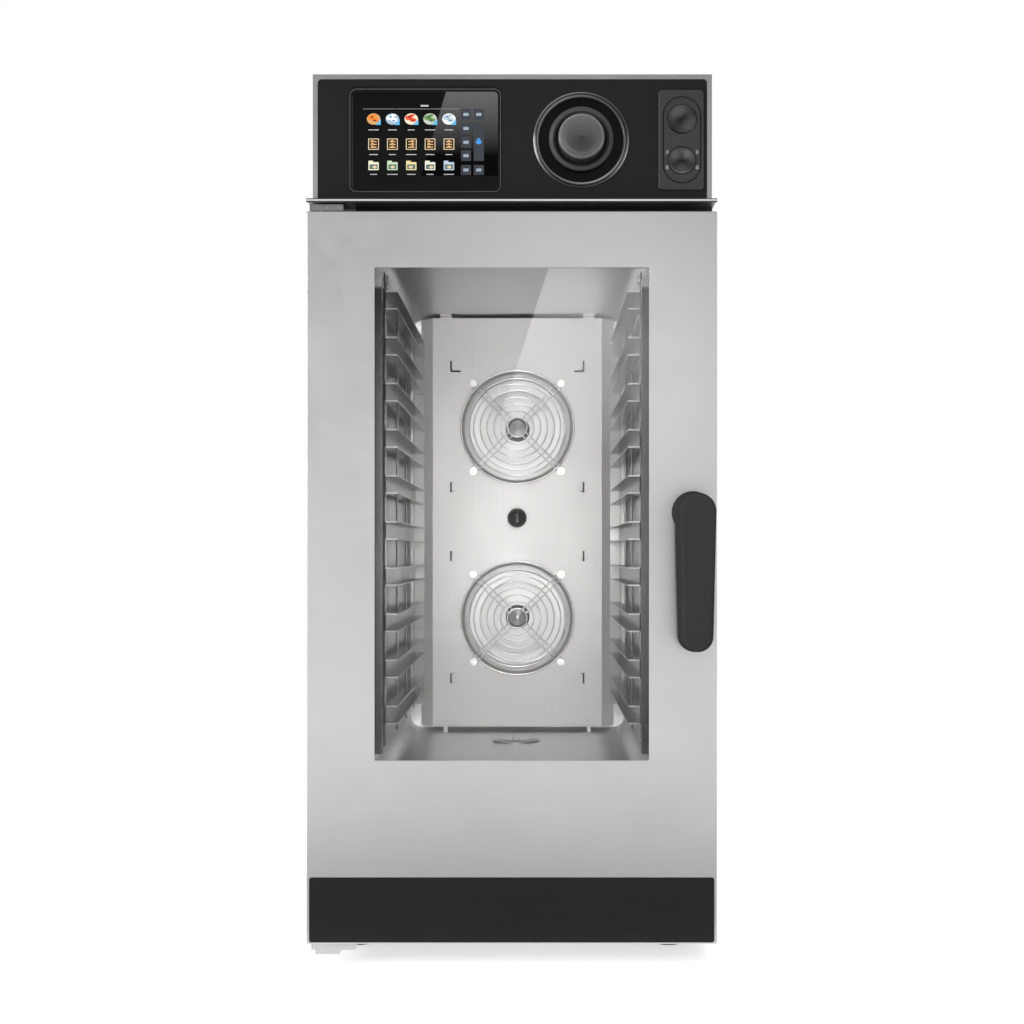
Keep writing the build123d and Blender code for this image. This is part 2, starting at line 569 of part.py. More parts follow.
LEDGE = DOOR_BACK - 6.5
RECESS = (INNER_GLASS[0] - 1, INNER_GLASS[1] + 1, INNER_GLASS[2] - 1, INNER_GLASS[3] + 1)
with BuildPart() as door_inner_frame:
    ring_slab(DOOR_SHELL, RECESS, DOOR_BACK - SHEET, DOOR_BACK, 1, 7)
    wide = (RECESS[0] - SHEET, RECESS[1] + SHEET, RECESS[2] - SHEET, RECESS[3] + SHEET)
    ring_slab(wide, RECESS, LEDGE, DOOR_BACK, 8, 7)
    inner = (FRAME_INNER[0] + 0.1, FRAME_INNER[1] - 0.1, FRAME_INNER[2] + 0.1, FRAME_INNER[3] - 0.1)
    ring_slab(wide, inner, LEDGE, LEDGE + SHEET, 8, 4)
    ledge_outer = (inner[0] - SHEET, inner[1] + SHEET, inner[2] - SHEET, inner[3] + SHEET)
    ring_slab(ledge_outer, inner, DOOR_FRONT + SHEET + GLASS, LEDGE + SHEET, 4, 3)
    for clip_x in CLIP_XS:
        for clip_z in CLIP_ZS:
            rod(clip_x, clip_z, DOOR_BACK - 14, LEDGE, 6)
            rod(clip_x, clip_z, DOOR_BACK - 12, DOOR_BACK - 5, 3.1, mode=Mode.SUBTRACT)
    for block_z in (DOOR_BOTTOM + SHEET, DOOR_TOP - SHEET - 30):
        slab(-253, -221, -372, DOOR_BACK, block_z, block_z + 30, 1)
        post(HINGE_X, HINGE_Y, block_z, block_z + 30, BUSH_RADIUS, mode=Mode.SUBTRACT)
    slab(209, 241, -372, DOOR_BACK, HANDLE_Z - 16, HANDLE_Z + 16, 2)
    rod(HANDLE_X, HANDLE_Z, -372, DOOR_BACK, 6 + RUNNING, mode=Mode.SUBTRACT)
save(door_inner_frame, "door_inner_frame")

with BuildPart() as door_hinge_bushes:
    for bush_z in (DOOR_BOTTOM - 0.4, DOOR_TOP - 26):
        post(HINGE_X, HINGE_Y, bush_z, bush_z + 26.4, BUSH_RADIUS)
        post(HINGE_X, HINGE_Y, bush_z, bush_z + 26.4, PIN_RADIUS + RUNNING, mode=Mode.SUBTRACT)
save(door_hinge_bushes, "door_hinge_bushes")

with BuildPart() as handle_rosette:
    turned(
        HANDLE_X, HANDLE_Z,
        ((6.05, DOOR_FRONT - 12), (ROSETTE_RADIUS - 4, DOOR_FRONT - 12),
         (ROSETTE_RADIUS - 0.5, DOOR_FRONT - 8), (ROSETTE_RADIUS, DOOR_FRONT),
         (8.9, DOOR_FRONT), (8.9, -372), (6.05, -372)),
    )
save(handle_rosette, "handle_rosette")

# Handle: tapered lever, wide at the pivot

with BuildPart() as handle_grip:
    with BuildSketch(front_plane(HANDLE_FRONT + GRIP_DEPTH)):
        with Locations((HANDLE_X, HANDLE_Z)):
            Circle(24.8)
        with Locations((HANDLE_X, HANDLE_LOW)):
            Circle(21.2)
        make_hull()
    extrude(amount=GRIP_DEPTH, taper=3.2)
    fillet(handle_grip.faces().sort_by(Axis.Y)[0].edges(), radius=5)
    fillet(handle_grip.faces().sort_by(Axis.Y)[-1].edges(), radius=3)
    rod(HANDLE_X, HANDLE_Z, HANDLE_FRONT + 20, DOOR_FRONT - 12.4, 17)
    rod(HANDLE_X, HANDLE_Z, HANDLE_FRONT + 25, DOOR_FRONT, 6, mode=Mode.SUBTRACT)
save(handle_grip, "handle_grip")

with BuildPart() as door_latch:
    rod(HANDLE_X, HANDLE_Z, DOOR_FRONT - 40, -306, 6)
    slab(HANDLE_X - 5, HANDLE_X + 5, -312, -306, HANDLE_Z - 14, HANDLE_Z)
save(door_latch, "door_latch")

# Hinge brackets

with BuildPart() as upper_hinge_bracket:
    slab(-252, -210, -372, BODY_FRONT, 943, 951)
    slab(-252, -205, BODY_FRONT - 3, BODY_FRONT, 941.5, 951.5)
    post(HINGE_X, HINGE_Y, DOOR_TOP - 22, 943, PIN_RADIUS)
save(upper_hinge_bracket, "upper_hinge_bracket")

with BuildPart() as lower_hinge_bracket:
    slab(-250, -195, -372, -270, 22, BODY_BOTTOM)
    slab(-246, -215, -366, -330, 15, 22)
    post(HINGE_X, HINGE_Y, BODY_BOTTOM, DOOR_BOTTOM + 22, PIN_RADIUS)
save(lower_hinge_bracket, "lower_hinge_bracket")

# Control panel

with BuildPart() as visor:
    slab(-HALF_WIDTH, HALF_WIDTH, DOOR_FRONT, BODY_FRONT, VISOR_TOP - 2, VISOR_TOP)
    slab(-HALF_WIDTH, HALF_WIDTH, DOOR_FRONT, DOOR_FRONT + 2, VISOR_BOTTOM, VISOR_TOP)
    slab(-200, HALF_WIDTH, BODY_FRONT - SHEET, BODY_FRONT, VISOR_BOTTOM - 5, VISOR_TOP)
    fillet(visor.edges().filter_by(Axis.X).group_by(Axis.Y)[0].sort_by(Axis.Z)[-1], radius=1.5)
save(visor, "visor")

SCREEN = (-248.8, 248.8, 962.5, 1121.8)
with BuildPart() as fascia_frame:
    ring_slab((-HALF_WIDTH, HALF_WIDTH, VISOR_TOP, TOP_INNER), SCREEN, BODY_FRONT, FRAME_BACK, 0, 5)
    ring_slab((-252, 252, 959.5, 1124.8), SCREEN, FRAME_BACK, PANEL_BACK, 6, 5)
save(fascia_frame, "fascia_frame")

with BuildPart() as control_panel:
    slab(SCREEN[0] + 0.2, SCREEN[1] - 0.2, PANEL_FRONT, PANEL_BACK, SCREEN[2] + 0.2, SCREEN[3] - 0.2, 4.8)
    slab(-209, -13, PANEL_FRONT, PANEL_FRONT + 2, 976.6, 1112.5, 9, mode=Mode.SUBTRACT)
    rod(KNOB_X, KNOB_Z, PANEL_FRONT, PANEL_FRONT + 2, 54, mode=Mode.SUBTRACT)
    rod(KNOB_X, KNOB_Z, PANEL_FRONT, PANEL_BACK, 4, mode=Mode.SUBTRACT)
    for disc_z in (BUTTON_Z, PROBE_Z):
        rod(DISC_X, disc_z, PANEL_FRONT, PANEL_BACK, DISC_RADIUS + 0.3, mode=Mode.SUBTRACT)
save(control_panel, "control_panel")

with BuildPart() as display_glass:
    slab(*DISPLAY[:2], PANEL_FRONT - 0.8, PANEL_FRONT + 2, *DISPLAY[2:], 6.5)
    fillet(display_glass.faces().sort_by(Axis.Y)[0].edges(), radius=0.5)
save(display_glass, "display_glass")

with BuildPart() as knob_ring:
    turned(
        KNOB_X, KNOB_Z,
        ((54, PANEL_FRONT), (54, PANEL_FRONT - 2.6), (55.2, PANEL_FRONT - 3.4), (58, PANEL_FRONT - 3),
         (61.2, PANEL_FRONT - 1), (61.2, PANEL_FRONT)),
    )
save(knob_ring, "knob_ring")

PLATE_FRONT = PANEL_FRONT - 3
CAP_RADIUS = 17.8
with BuildPart() as socket_plate:
    slab(*PLATE[:2], PLATE_FRONT, PANEL_FRONT, *PLATE[2:], 5)
    fillet(socket_plate.faces().sort_by(Axis.Y)[0].edges(), radius=1.2)
    rim_outside = (193.2, 239.8, 989.2, 1097.9)
    rim_inside = (194.4, 238.6, 990.4, 1096.7)
    ring_slab(rim_outside, rim_inside, PLATE_FRONT - 0.6, PLATE_FRONT, 23.2, 22)
    rod(DISC_X, BUTTON_Z, PLATE_FRONT, PANEL_FRONT, DISC_RADIUS + 0.3, mode=Mode.SUBTRACT)
    rod(DISC_X, PROBE_Z, PLATE_FRONT, PANEL_FRONT, CAP_RADIUS + 0.4, mode=Mode.SUBTRACT)
    rod(DISC_X, PROBE_Z, PANEL_FRONT, PANEL_FRONT + 9, DISC_RADIUS + 0.2)
    rod(DISC_X, PROBE_Z, PANEL_FRONT, PANEL_FRONT + 9, 4, mode=Mode.SUBTRACT)
    for lug_x in (DISC_X - 19.2, DISC_X + 19.2):
        for lug_z in (PROBE_Z - 9.7, PROBE_Z + 9.7):
            slab(lug_x - 1.6, lug_x + 1.6, PLATE_FRONT - 1.6, PLATE_FRONT, lug_z - 2.2, lug_z + 2.2)
save(socket_plate, "socket_plate")

with BuildPart() as power_button:
    turned(
        DISC_X, BUTTON_Z,
        ((0, PLATE_FRONT - 0.4), (14, PLATE_FRONT - 1.2), (17.8, PLATE_FRONT - 1.4),
         (DISC_RADIUS, PLATE_FRONT - 0.4), (DISC_RADIUS, PANEL_BACK - 0.6), (0, PANEL_BACK - 0.6)),
    )
save(power_button, "power_button")

with BuildPart() as probe_cap:
    turned(
        DISC_X, PROBE_Z,
        ((0, PLATE_FRONT - 0.6), (15, PLATE_FRONT - 1.6), (CAP_RADIUS, PLATE_FRONT - 1),
         (CAP_RADIUS, PANEL_FRONT - 0.4), (3.9, PANEL_FRONT - 0.4), (3.9, PANEL_FRONT + 6), (0, PANEL_FRONT + 6)),
    )
save(probe_cap, "probe_cap")

with BuildPart() as encoder_shaft:
    rod(KNOB_X, KNOB_Z, -331, -309, 3)
save(encoder_shaft, "encoder_shaft")

with BuildPart() as control_knob:
    turned(
        KNOB_X, KNOB_Z,
        ((0, KNOB_FRONT), (20, KNOB_FRONT + 0.3), (27.6, KNOB_FRONT + 1.5), (KNOB_RADIUS, KNOB_FRONT + 4),
         (KNOB_RADIUS, -324.5), (34.8, -324.5), (34.8, -328.4), (36, -329), (40.6, -327.6),
         (SKIRT_RADIUS, -325.8), (SKIRT_RADIUS, KNOB_BACK), (0, KNOB_BACK)),
    )
    with BuildSketch(front_plane(-326)):
        with Locations((KNOB_X, KNOB_Z)):
            with PolarLocations(KNOB_RADIUS + 0.5, 48):
                Circle(1.1)
    extrude(amount=-326 - KNOB_FRONT, mode=Mode.SUBTRACT)
    rod(KNOB_X, KNOB_Z, -331.6, KNOB_BACK, 3 + RUNNING, mode=Mode.SUBTRACT)
save(control_knob, "control_knob")

with BuildPart() as control_board:
    slab(-215, 245, -306, -304.4, 970, 1115, 2)
    slab(-200, -23, -315.4, -306, 985, 1103, 2)
    rod(KNOB_X, KNOB_Z, -313, -306, 8)
    rod(KNOB_X, KNOB_Z, -313, -306, 3 + RUNNING, mode=Mode.SUBTRACT)
    rod(DISC_X, BUTTON_Z, -313.5, -306, 9)
    for relay_x in (-150, -110, 20, 140):
        slab(relay_x, relay_x + 24, -304.4, -292, 1000, 1030, 1)
    for stand_x in (-208, 238):
        for stand_z in (976, 1109):
            rod(stand_x, stand_z, PANEL_BACK, -306, 3)
save(control_board, "control_board")

# Technical space above and below the cavity

with BuildPart() as contactors:
    slab(-120, 90, 60, 100, SHELF_Z, SHELF_Z + 2)
    for block_x in (-110, -60, -10):
        slab(block_x, block_x + 44, 50, 110, SHELF_Z + 2, SHELF_Z + 76, 2)
        slab(block_x + 6, block_x + 38, 60, 100, SHELF_Z + 76, SHELF_Z + 84, 2)
    slab(40, 84, 62, 98, SHELF_Z + 2, SHELF_Z + 46, 2)
save(contactors, "contactors")

with BuildPart() as cooling_fan_housing:
    slab(COOLING[0] - 46, COOLING[0] + 46, REAR_INNER - 25, REAR_INNER, COOLING[1] - 46, COOLING[1] + 46, 4)
    rod(*COOLING, REAR_INNER - 25, REAR_INNER, 42, mode=Mode.SUBTRACT)
    rod(*COOLING, REAR_INNER - 3, REAR_INNER, 19)
    slab(COOLING[0] - 44, COOLING[0] + 44, REAR_INNER - 3, REAR_INNER, COOLING[1] - 3, COOLING[1] + 3)
    slab(COOLING[0] - 3, COOLING[0] + 3, REAR_INNER - 3, REAR_INNER, COOLING[1] - 44, COOLING[1] + 44)
    rod(*COOLING, REAR_INNER - 16, REAR_INNER - 3, 3)
save(cooling_fan_housing, "cooling_fan_housing")

with BuildPart() as cooling_fan_rotor:
    rod(*COOLING, REAR_INNER - 22, REAR_INNER - 4, 18)
    for blade in range(7):
        with BuildSketch(front_plane(REAR_INNER - 5)):
            with Locations(Location(COOLING, 360 / 7 * blade)):
                with Locations((28, 0)):
                    Rectangle(24, 9)
        extrude(amount=2)
    rod(*COOLING, REAR_INNER - 17, REAR_INNER - 3, 3 + RUNNING, mode=Mode.SUBTRACT)
save(cooling_fan_rotor, "cooling_fan_rotor")

with BuildPart() as inlet_valves:
    for valve_x in VALVES:
        rod(valve_x, VALVE_Z, REAR_INNER - 4, REAR_FITTINGS, 13.2)
        rod(valve_x, VALVE_Z, REAR_INNER - 8, REAR_INNER, 17)
        rod(valve_x, VALVE_Z, REAR_INNER - 46, REAR_INNER - 8, 12)
        slab(valve_x - 14, valve_x + 14, REAR_INNER - 44, REAR_INNER - 14, VALVE_Z, VALVE_Z + 42, 3)
        rod(valve_x, VALVE_Z, REAR_INNER - 4, REAR_FITTINGS, 9, mode=Mode.SUBTRACT)
save(inlet_valves, "inlet_valves")

with BuildPart() as cable_gland:
    rod(*GLAND, REAR_INNER - 14, REAR_FITTINGS - 8, 12.5)
    with BuildSketch(front_plane(BODY_BACK + 7)):
        with Locations(GLAND):
            RegularPolygon(16, 6)
    extrude(amount=7)
    with BuildSketch(front_plane(REAR_INNER)):
        with Locations(GLAND):
            RegularPolygon(16, 6)
    extrude(amount=5)
    rod(*GLAND, REAR_INNER - 14, REAR_FITTINGS - 8, 8, mode=Mode.SUBTRACT)
save(cable_gland, "cable_gland")
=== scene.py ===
import bmesh
import bpy
from math import cos, pi, radians, sin
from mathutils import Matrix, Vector


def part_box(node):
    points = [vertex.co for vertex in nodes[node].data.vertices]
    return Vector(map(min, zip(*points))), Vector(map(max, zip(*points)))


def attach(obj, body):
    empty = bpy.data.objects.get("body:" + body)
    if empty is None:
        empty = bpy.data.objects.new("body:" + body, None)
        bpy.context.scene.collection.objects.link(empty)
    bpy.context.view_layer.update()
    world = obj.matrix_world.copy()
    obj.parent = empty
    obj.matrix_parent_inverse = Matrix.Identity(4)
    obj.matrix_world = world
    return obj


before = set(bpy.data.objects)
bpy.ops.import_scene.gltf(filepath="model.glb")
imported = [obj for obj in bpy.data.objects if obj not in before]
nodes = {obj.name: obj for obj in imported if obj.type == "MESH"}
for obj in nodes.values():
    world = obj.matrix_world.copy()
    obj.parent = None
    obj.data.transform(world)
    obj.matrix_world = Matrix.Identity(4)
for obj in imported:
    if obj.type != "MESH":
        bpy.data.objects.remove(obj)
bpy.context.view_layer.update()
MM = 0.001


# ---------------------------------------------------------------- node material helpers

def linear(red, green, blue):
    """Linear colour from display values out of 255."""
    def one(value):
        value /= 255
        return value / 12.92 if value <= 0.04045 else ((value + 0.055) / 1.055) ** 2.4
    return (one(red), one(green), one(blue), 1.0)


def grey(value):
    """Linear grey from a display value out of 255."""
    return linear(value, value, value)


def material(name):
    """New material with its node tree, Principled shader and object coordinates."""
    made = bpy.data.materials.new(name)
    made.use_nodes = True
    tree = made.node_tree
    shader = tree.nodes["Principled BSDF"]
    coords = tree.nodes.new("ShaderNodeTexCoord")
    return made, tree, shader, coords.outputs["Object"]


def scaled(tree, vector, scale, place=(0, 0, 0)):
    """Coordinates moved by -place and then scaled."""
    shift = tree.nodes.new("ShaderNodeVectorMath")
    shift.operation = "SUBTRACT"
    shift.inputs[1].default_value = place
    tree.links.new(vector, shift.inputs[0])
    stretch = tree.nodes.new("ShaderNodeVectorMath")
    stretch.operation = "MULTIPLY"
    stretch.inputs[1].default_value = scale
    tree.links.new(shift.outputs[0], stretch.inputs[0])
    return stretch.outputs[0]


def noise(tree, vector, scale, detail=4.0, rough=0.55):
    """Noise value on the given coordinates."""
    made = tree.nodes.new("ShaderNodeTexNoise")
    made.inputs["Scale"].default_value = scale
    made.inputs["Detail"].default_value = detail
    made.inputs["Roughness"].default_value = rough
    tree.links.new(vector, made.inputs["Vector"])
    return made.outputs["Fac"]


def ramp(tree, value, stops):
    """Colour ramp of (position, colour) stops."""
    made = tree.nodes.new("ShaderNodeValToRGB")
    elements = made.color_ramp.elements
    while len(elements) < len(stops):
        elements.new(0.5)
    for element, (position, colour) in zip(elements, stops):
        element.position = position
        element.color = colour
    tree.links.new(value, made.inputs["Fac"])
    return made.outputs["Color"]


def spread(tree, value, low, high, start=0.3, end=0.7):
    """Value mapped from start..end to low..high."""
    made = tree.nodes.new("ShaderNodeMapRange")
    for name, number in (("From Min", start), ("From Max", end), ("To Min", low), ("To Max", high)):
        made.inputs[name].default_value = number
    tree.links.new(value, made.inputs["Value"])
    return made.outputs["Result"]


def mixed(tree, factor, first, second, how="MIX"):
    """Two colours mixed; each is a socket or a plain colour, the factor a socket or a number."""
    made = tree.nodes.new("ShaderNodeMix")
    made.data_type = "RGBA"
    made.blend_type = how
    for socket, given in ((made.inputs[0], factor), (made.inputs[6], first), (made.inputs[7], second)):
        if isinstance(given, bpy.types.NodeSocket):
            tree.links.new(given, socket)
        else:
            socket.default_value = given
    return made.outputs[2]


def bump(tree, shader, height, strength, distance=0.0005):
    """Bump from a height value into the shader's normal."""
    made = tree.nodes.new("ShaderNodeBump")
    made.inputs["Strength"].default_value = strength
    made.inputs["Distance"].default_value = distance
    tree.links.new(height, made.inputs["Height"])
    tree.links.new(made.outputs["Normal"], shader.inputs["Normal"])


def shade(colour, factor):
    """Colour made darker or lighter by a factor."""
    return (*(min(1.0, channel * factor) for channel in colour[:3]), 1.0)


def brushed(name, colour, rough, along=(1, 0, 0), grain=0.06, marks=0.10, strength=0.12, metallic=1.0):
    """Brushed sheet metal: long fine grain along one direction, cloudy tone, faint hand marks."""
    made, tree, shader, place = material(name)
    shader.inputs["Metallic"].default_value = metallic
    fine = tuple(9 if part else 1400 for part in along)
    lines = noise(tree, scaled(tree, place, fine), 1.0, 3.0)
    clouds = noise(tree, place, 3.0, 3.0)
    prints = noise(tree, place, 22.0, 6.0, 0.7)
    toned = ramp(tree, lines, ((0.25, shade(colour, 1 - grain)), (0.75, shade(colour, 1 + grain))))
    worn = ramp(tree, clouds, ((0.3, (0.93, 0.93, 0.93, 1)), (0.7, (1, 1, 1, 1))))
    tree.links.new(mixed(tree, 1.0, toned, worn, "MULTIPLY"), shader.inputs["Base Color"])
    both = tree.nodes.new("ShaderNodeMath")
    both.operation = "ADD"
    tree.links.new(spread(tree, lines, rough - marks / 2, rough + marks / 2), both.inputs[0])
    tree.links.new(spread(tree, prints, -0.03, 0.04), both.inputs[1])
    tree.links.new(both.outputs[0], shader.inputs["Roughness"])
    bump(tree, shader, lines, strength, 0.0002)
    return made


def moulded(name, colour, rough, scale=900.0, strength=0.25, coat=0.0, shine=0.5, uneven=0.12):
    """Moulded plastic or rubber: fine spark texture, with tone and roughness uneven by a given part."""
    made, tree, shader, place = material(name)
    grains = noise(tree, place, scale, 2.0)
    clouds = noise(tree, place, 14.0, 4.0)
    tree.links.new(
        ramp(tree, clouds, ((0.3, shade(colour, 1 - uneven)), (0.7, shade(colour, 1 + uneven)))),
        shader.inputs["Base Color"],
    )
    tree.links.new(spread(tree, clouds, rough - uneven / 3, rough + uneven / 2), shader.inputs["Roughness"])
    shader.inputs["Coat Weight"].default_value = coat
    shader.inputs["Specular IOR Level"].default_value = shine
    bump(tree, shader, grains, strength, 0.0001)
    return made


def radius_of(tree, place, centre):
    """Distance from a front-to-back axis through the centre."""
    flat = scaled(tree, place, (1, 0, 1), centre)
    length = tree.nodes.new("ShaderNodeVectorMath")
    length.operation = "LENGTH"
    tree.links.new(flat, length.inputs[0])
    return length.outputs["Value"]


def height_of(tree, place):
    """Height above the floor."""
    split = tree.nodes.new("ShaderNodeSeparateXYZ")
    tree.links.new(place, split.inputs[0])
    return split.outputs["Z"]


def turned_face(name, centre, stops, size, rough=0.3, metallic=0.6, swirl=5.0):
    """Turned metal disc: tone by radius, a painted sheen sweeping round the axis, fine machining rings."""
    made, tree, shader, place = material(name)
    shader.inputs["Metallic"].default_value = metallic
    shader.inputs["Anisotropic"].default_value = 0.7
    radius = radius_of(tree, place, centre)
    tone = ramp(tree, spread(tree, radius, 0, 1, 0, size), stops)
    # Painted sheen: the base colour is darkened and lightened in waves round the axis, standing in for the
    # reflection on turned metal.
    sweep = tree.nodes.new("ShaderNodeTexGradient")
    sweep.gradient_type = "RADIAL"
    turned_place = tree.nodes.new("ShaderNodeMapping")
    turned_place.inputs["Rotation"].default_value = (radians(90), 0, 0)
    tree.links.new(scaled(tree, place, (1, 1, 1), centre), turned_place.inputs["Vector"])
    tree.links.new(turned_place.outputs[0], sweep.inputs["Vector"])
    waves = tree.nodes.new("ShaderNodeMath")
    waves.operation = "MULTIPLY"
    waves.inputs[1].default_value = 2 * pi * swirl
    tree.links.new(sweep.outputs["Fac"], waves.inputs[0])
    wave = tree.nodes.new("ShaderNodeMath")
    wave.operation = "SINE"
    tree.links.new(waves.outputs[0], wave.inputs[0])
    swing = spread(tree, wave.outputs[0], 0, 1, -1, 1)
    sheen = ramp(tree, swing, ((0.0, (0.55, 0.55, 0.55, 1)), (1.0, (1.25, 1.25, 1.25, 1))))
    tree.links.new(mixed(tree, 1.0, tone, sheen, "MULTIPLY"), shader.inputs["Base Color"])
    rings = tree.nodes.new("ShaderNodeMath")
    rings.operation = "MULTIPLY"
    rings.inputs[1].default_value = 9000.0
    tree.links.new(radius, rings.inputs[0])
    groove = tree.nodes.new("ShaderNodeMath")
    groove.operation = "SINE"
    tree.links.new(rings.outputs[0], groove.inputs[0])
    ringed = spread(tree, groove.outputs[0], rough - 0.05, rough + 0.06, -1, 1)
    tree.links.new(ringed, shader.inputs["Roughness"])
    bump(tree, shader, groove.outputs[0], 0.10, 0.00005)
    return made


def pane(name, tint, gloss, see):
    """Clear glass pane: see-through, with a mirror reflection that grows at a slant and faint wipe marks."""
    made = bpy.data.materials.new(name)
    made.use_nodes = True
    tree = made.node_tree
    tree.nodes.remove(tree.nodes["Principled BSDF"])
    out = tree.nodes["Material Output"]
    clear = tree.nodes.new("ShaderNodeBsdfTransparent")
    clear.inputs["Color"].default_value = tint
    mirror = tree.nodes.new("ShaderNodeBsdfGlossy")
    coords = tree.nodes.new("ShaderNodeTexCoord")
    wipes = noise(tree, scaled(tree, coords.outputs["Object"], (6, 6, 2)), 3.0, 5.0)
    tree.links.new(spread(tree, wipes, 0.0, gloss), mirror.inputs["Roughness"])
    fresnel = tree.nodes.new("ShaderNodeFresnel")
    fresnel.inputs["IOR"].default_value = see
    both = tree.nodes.new("ShaderNodeMixShader")
    tree.links.new(fresnel.outputs[0], both.inputs[0])
    tree.links.new(clear.outputs[0], both.inputs[1])
    tree.links.new(mirror.outputs[0], both.inputs[2])
    tree.links.new(both.outputs[0], out.inputs["Surface"])
    return made


def lit(name, colour, power, rough=0.25):
    """Printed or lit area of the display: glows a little through a glossy cover, with a faint pixel grain."""
    made, tree, shader, place = material(name)
    grain = noise(tree, place, 700.0, 1.0)
    toned = ramp(tree, grain, ((0.3, shade(colour, 0.82)), (0.7, shade(colour, 1.12))))
    tree.links.new(toned, shader.inputs["Base Color"])
    tree.links.new(toned, shader.inputs["Emission Color"])
    shader.inputs["Emission Strength"].default_value = power
    shader.inputs["Roughness"].default_value = rough
    return made


# ---------------------------------------------------------------- materials

STEEL = linear(213, 212, 210.5)
steel_door = brushed("steel_door", STEEL, 0.36, grain=0.03, marks=0.04, strength=0.03)
# The door's steel painted 0.78 darker as shade, for the body panels and frames.
steel_body_shaded = brushed(
    "steel_body_shaded", shade(STEEL, 0.78), 0.36, along=(0, 1, 0), grain=0.03, marks=0.05, strength=0.03
)
steel_back = brushed("steel_back", shade(STEEL, 0.70), 0.42, along=(1, 0, 0), strength=0.05)
steel_cavity = brushed("steel_cavity", linear(208, 207, 207), 0.34, along=(0, 0, 1), strength=0.03)
steel_baffle = brushed(
    "steel_baffle", linear(228, 226, 224), 0.44, along=(0, 0, 1), strength=0.03, metallic=0.45
)
steel_wire = brushed("steel_wire", linear(240, 239, 238), 0.24, along=(0, 1, 0), strength=0.02, metallic=0.6)
steel_fan = brushed("steel_fan", linear(190, 190, 189), 0.42, along=(0, 0, 1), strength=0.03)
steel_mill = brushed("steel_mill", linear(150, 151, 153), 0.45)
steel_hinge = brushed("steel_hinge", linear(206, 206, 204), 0.20, along=(0, 0, 1), strength=0.05)
# Light steel for strips that are painted highlights on the runner edges and the visor's top edge.
painted_highlight_steel = brushed("painted_highlight_steel", linear(222, 222, 220), 0.3, strength=0.02, metallic=0.4)
black_panel = moulded("black_panel", linear(29, 28, 27), 0.34, 1500.0, 0.04, shine=0.2, uneven=0.03)
black_band = moulded("black_band", linear(35, 34, 32), 0.26, 1200.0, 0.02, shine=0.2, uneven=0.03)
black_plastic = moulded("black_plastic", linear(40, 39, 38), 0.42, 1100.0, 0.20, shine=0.35)
handle_black = moulded("handle_black", linear(60, 59, 58), 0.5, 1100.0, 0.20, shine=0.0, uneven=0.05)
black_silicone = moulded("black_silicone", linear(38, 38, 38), 0.62, 700.0, 0.3)
fan_plastic = moulded("fan_plastic", linear(30, 30, 31), 0.4)
grey_plastic = moulded("grey_plastic", linear(150, 152, 154), 0.42)
motor_enamel = moulded("motor_enamel", linear(58, 60, 64), 0.35, 300.0, 0.3, 0.3)
wool = moulded("wool", linear(206, 186, 128), 0.95, 180.0, 0.9)
board_green = moulded("board_green", linear(28, 84, 52), 0.3, 260.0, 0.25, 0.5)
brass = brushed("brass", linear(196, 164, 96), 0.28, along=(0, 1, 0))
dark_visor = moulded("dark_visor", linear(44, 44, 44), 0.30, 900.0, 0.03, shine=0.3, uneven=0.04)
black_gloss = moulded("black_gloss", linear(14, 14, 14), 0.16, 1100.0, 0.02, shine=0.6, uneven=0.04)
dark_plate = moulded("dark_plate", linear(54, 53, 53), 0.30, 1300.0, 0.05, shine=0.5, uneven=0.04)
window_pane = pane("window_pane", (0.985, 0.985, 0.983, 1), 0.01, 1.40)
inner_pane = pane("inner_pane", (0.985, 0.985, 0.983, 1), 0.01, 1.12)


def glossy_black(name, colour, rough):
    """Black display glass: dark, mirror-smooth, with faint finger smears in its roughness."""
    made, tree, shader, place = material(name)
    smears = noise(tree, scaled(tree, place, (8, 8, 20)), 2.0, 6.0)
    tree.links.new(spread(tree, smears, rough, rough + 0.012), shader.inputs["Roughness"])
    tree.links.new(
        ramp(tree, smears, ((0.3, shade(colour, 0.9)), (0.7, shade(colour, 1.1)))), shader.inputs["Base Color"]
    )
    return made


display_black = glossy_black("display_black", linear(7, 7, 8), 0.004)


def paint_baffle_light_and_shade(made, half_width):
    """Painted light and shade on the baffle: its flat front painted a little darker as shade and its slanted
    flanks painted a little lighter as light.
    """
    tree = made.node_tree
    shader = tree.nodes["Principled BSDF"]
    place = tree.nodes.new("ShaderNodeTexCoord").outputs["Object"]
    tone = shader.inputs["Base Color"].links[0].from_socket
    across = radius_of(tree, scaled(tree, place, (1, 0, 0)), (0, 0, 0))
    past_edge = spread(tree, across, 0, 1, half_width - 0.8 * MM, half_width + 0.8 * MM)
    # Painted shade (0.84) on the flat front, painted light (1.28) on the flanks.
    flank = ramp(tree, past_edge, ((0.0, (0.84, 0.84, 0.84, 1)), (1.0, (1.28, 1.28, 1.28, 1))))
    tree.links.new(mixed(tree, 1.0, tone, flank, "MULTIPLY"), shader.inputs["Base Color"])


paint_baffle_light_and_shade(steel_baffle, 138 * MM)


def box_of(name):
    """Lowest and highest corner of a CAD node."""
    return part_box(name)


def middle(name):
    """Centre of a CAD node's box."""
    low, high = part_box(name)
    return (low + high) / 2


def dress(names, made):
    """Gives CAD nodes a material in every slot."""
    for name in names:
        for slot in nodes[name].material_slots:
            slot.material = made


def soften(names, width, angle=35):
    """Rounds the sharp edges of CAD nodes a little, so that they catch light."""
    for name in names:
        bevel = nodes[name].modifiers.new("soft_edges", "BEVEL")
        bevel.width = width
        bevel.segments = 2
        bevel.limit_method = "ANGLE"
        bevel.angle_limit = radians(angle)


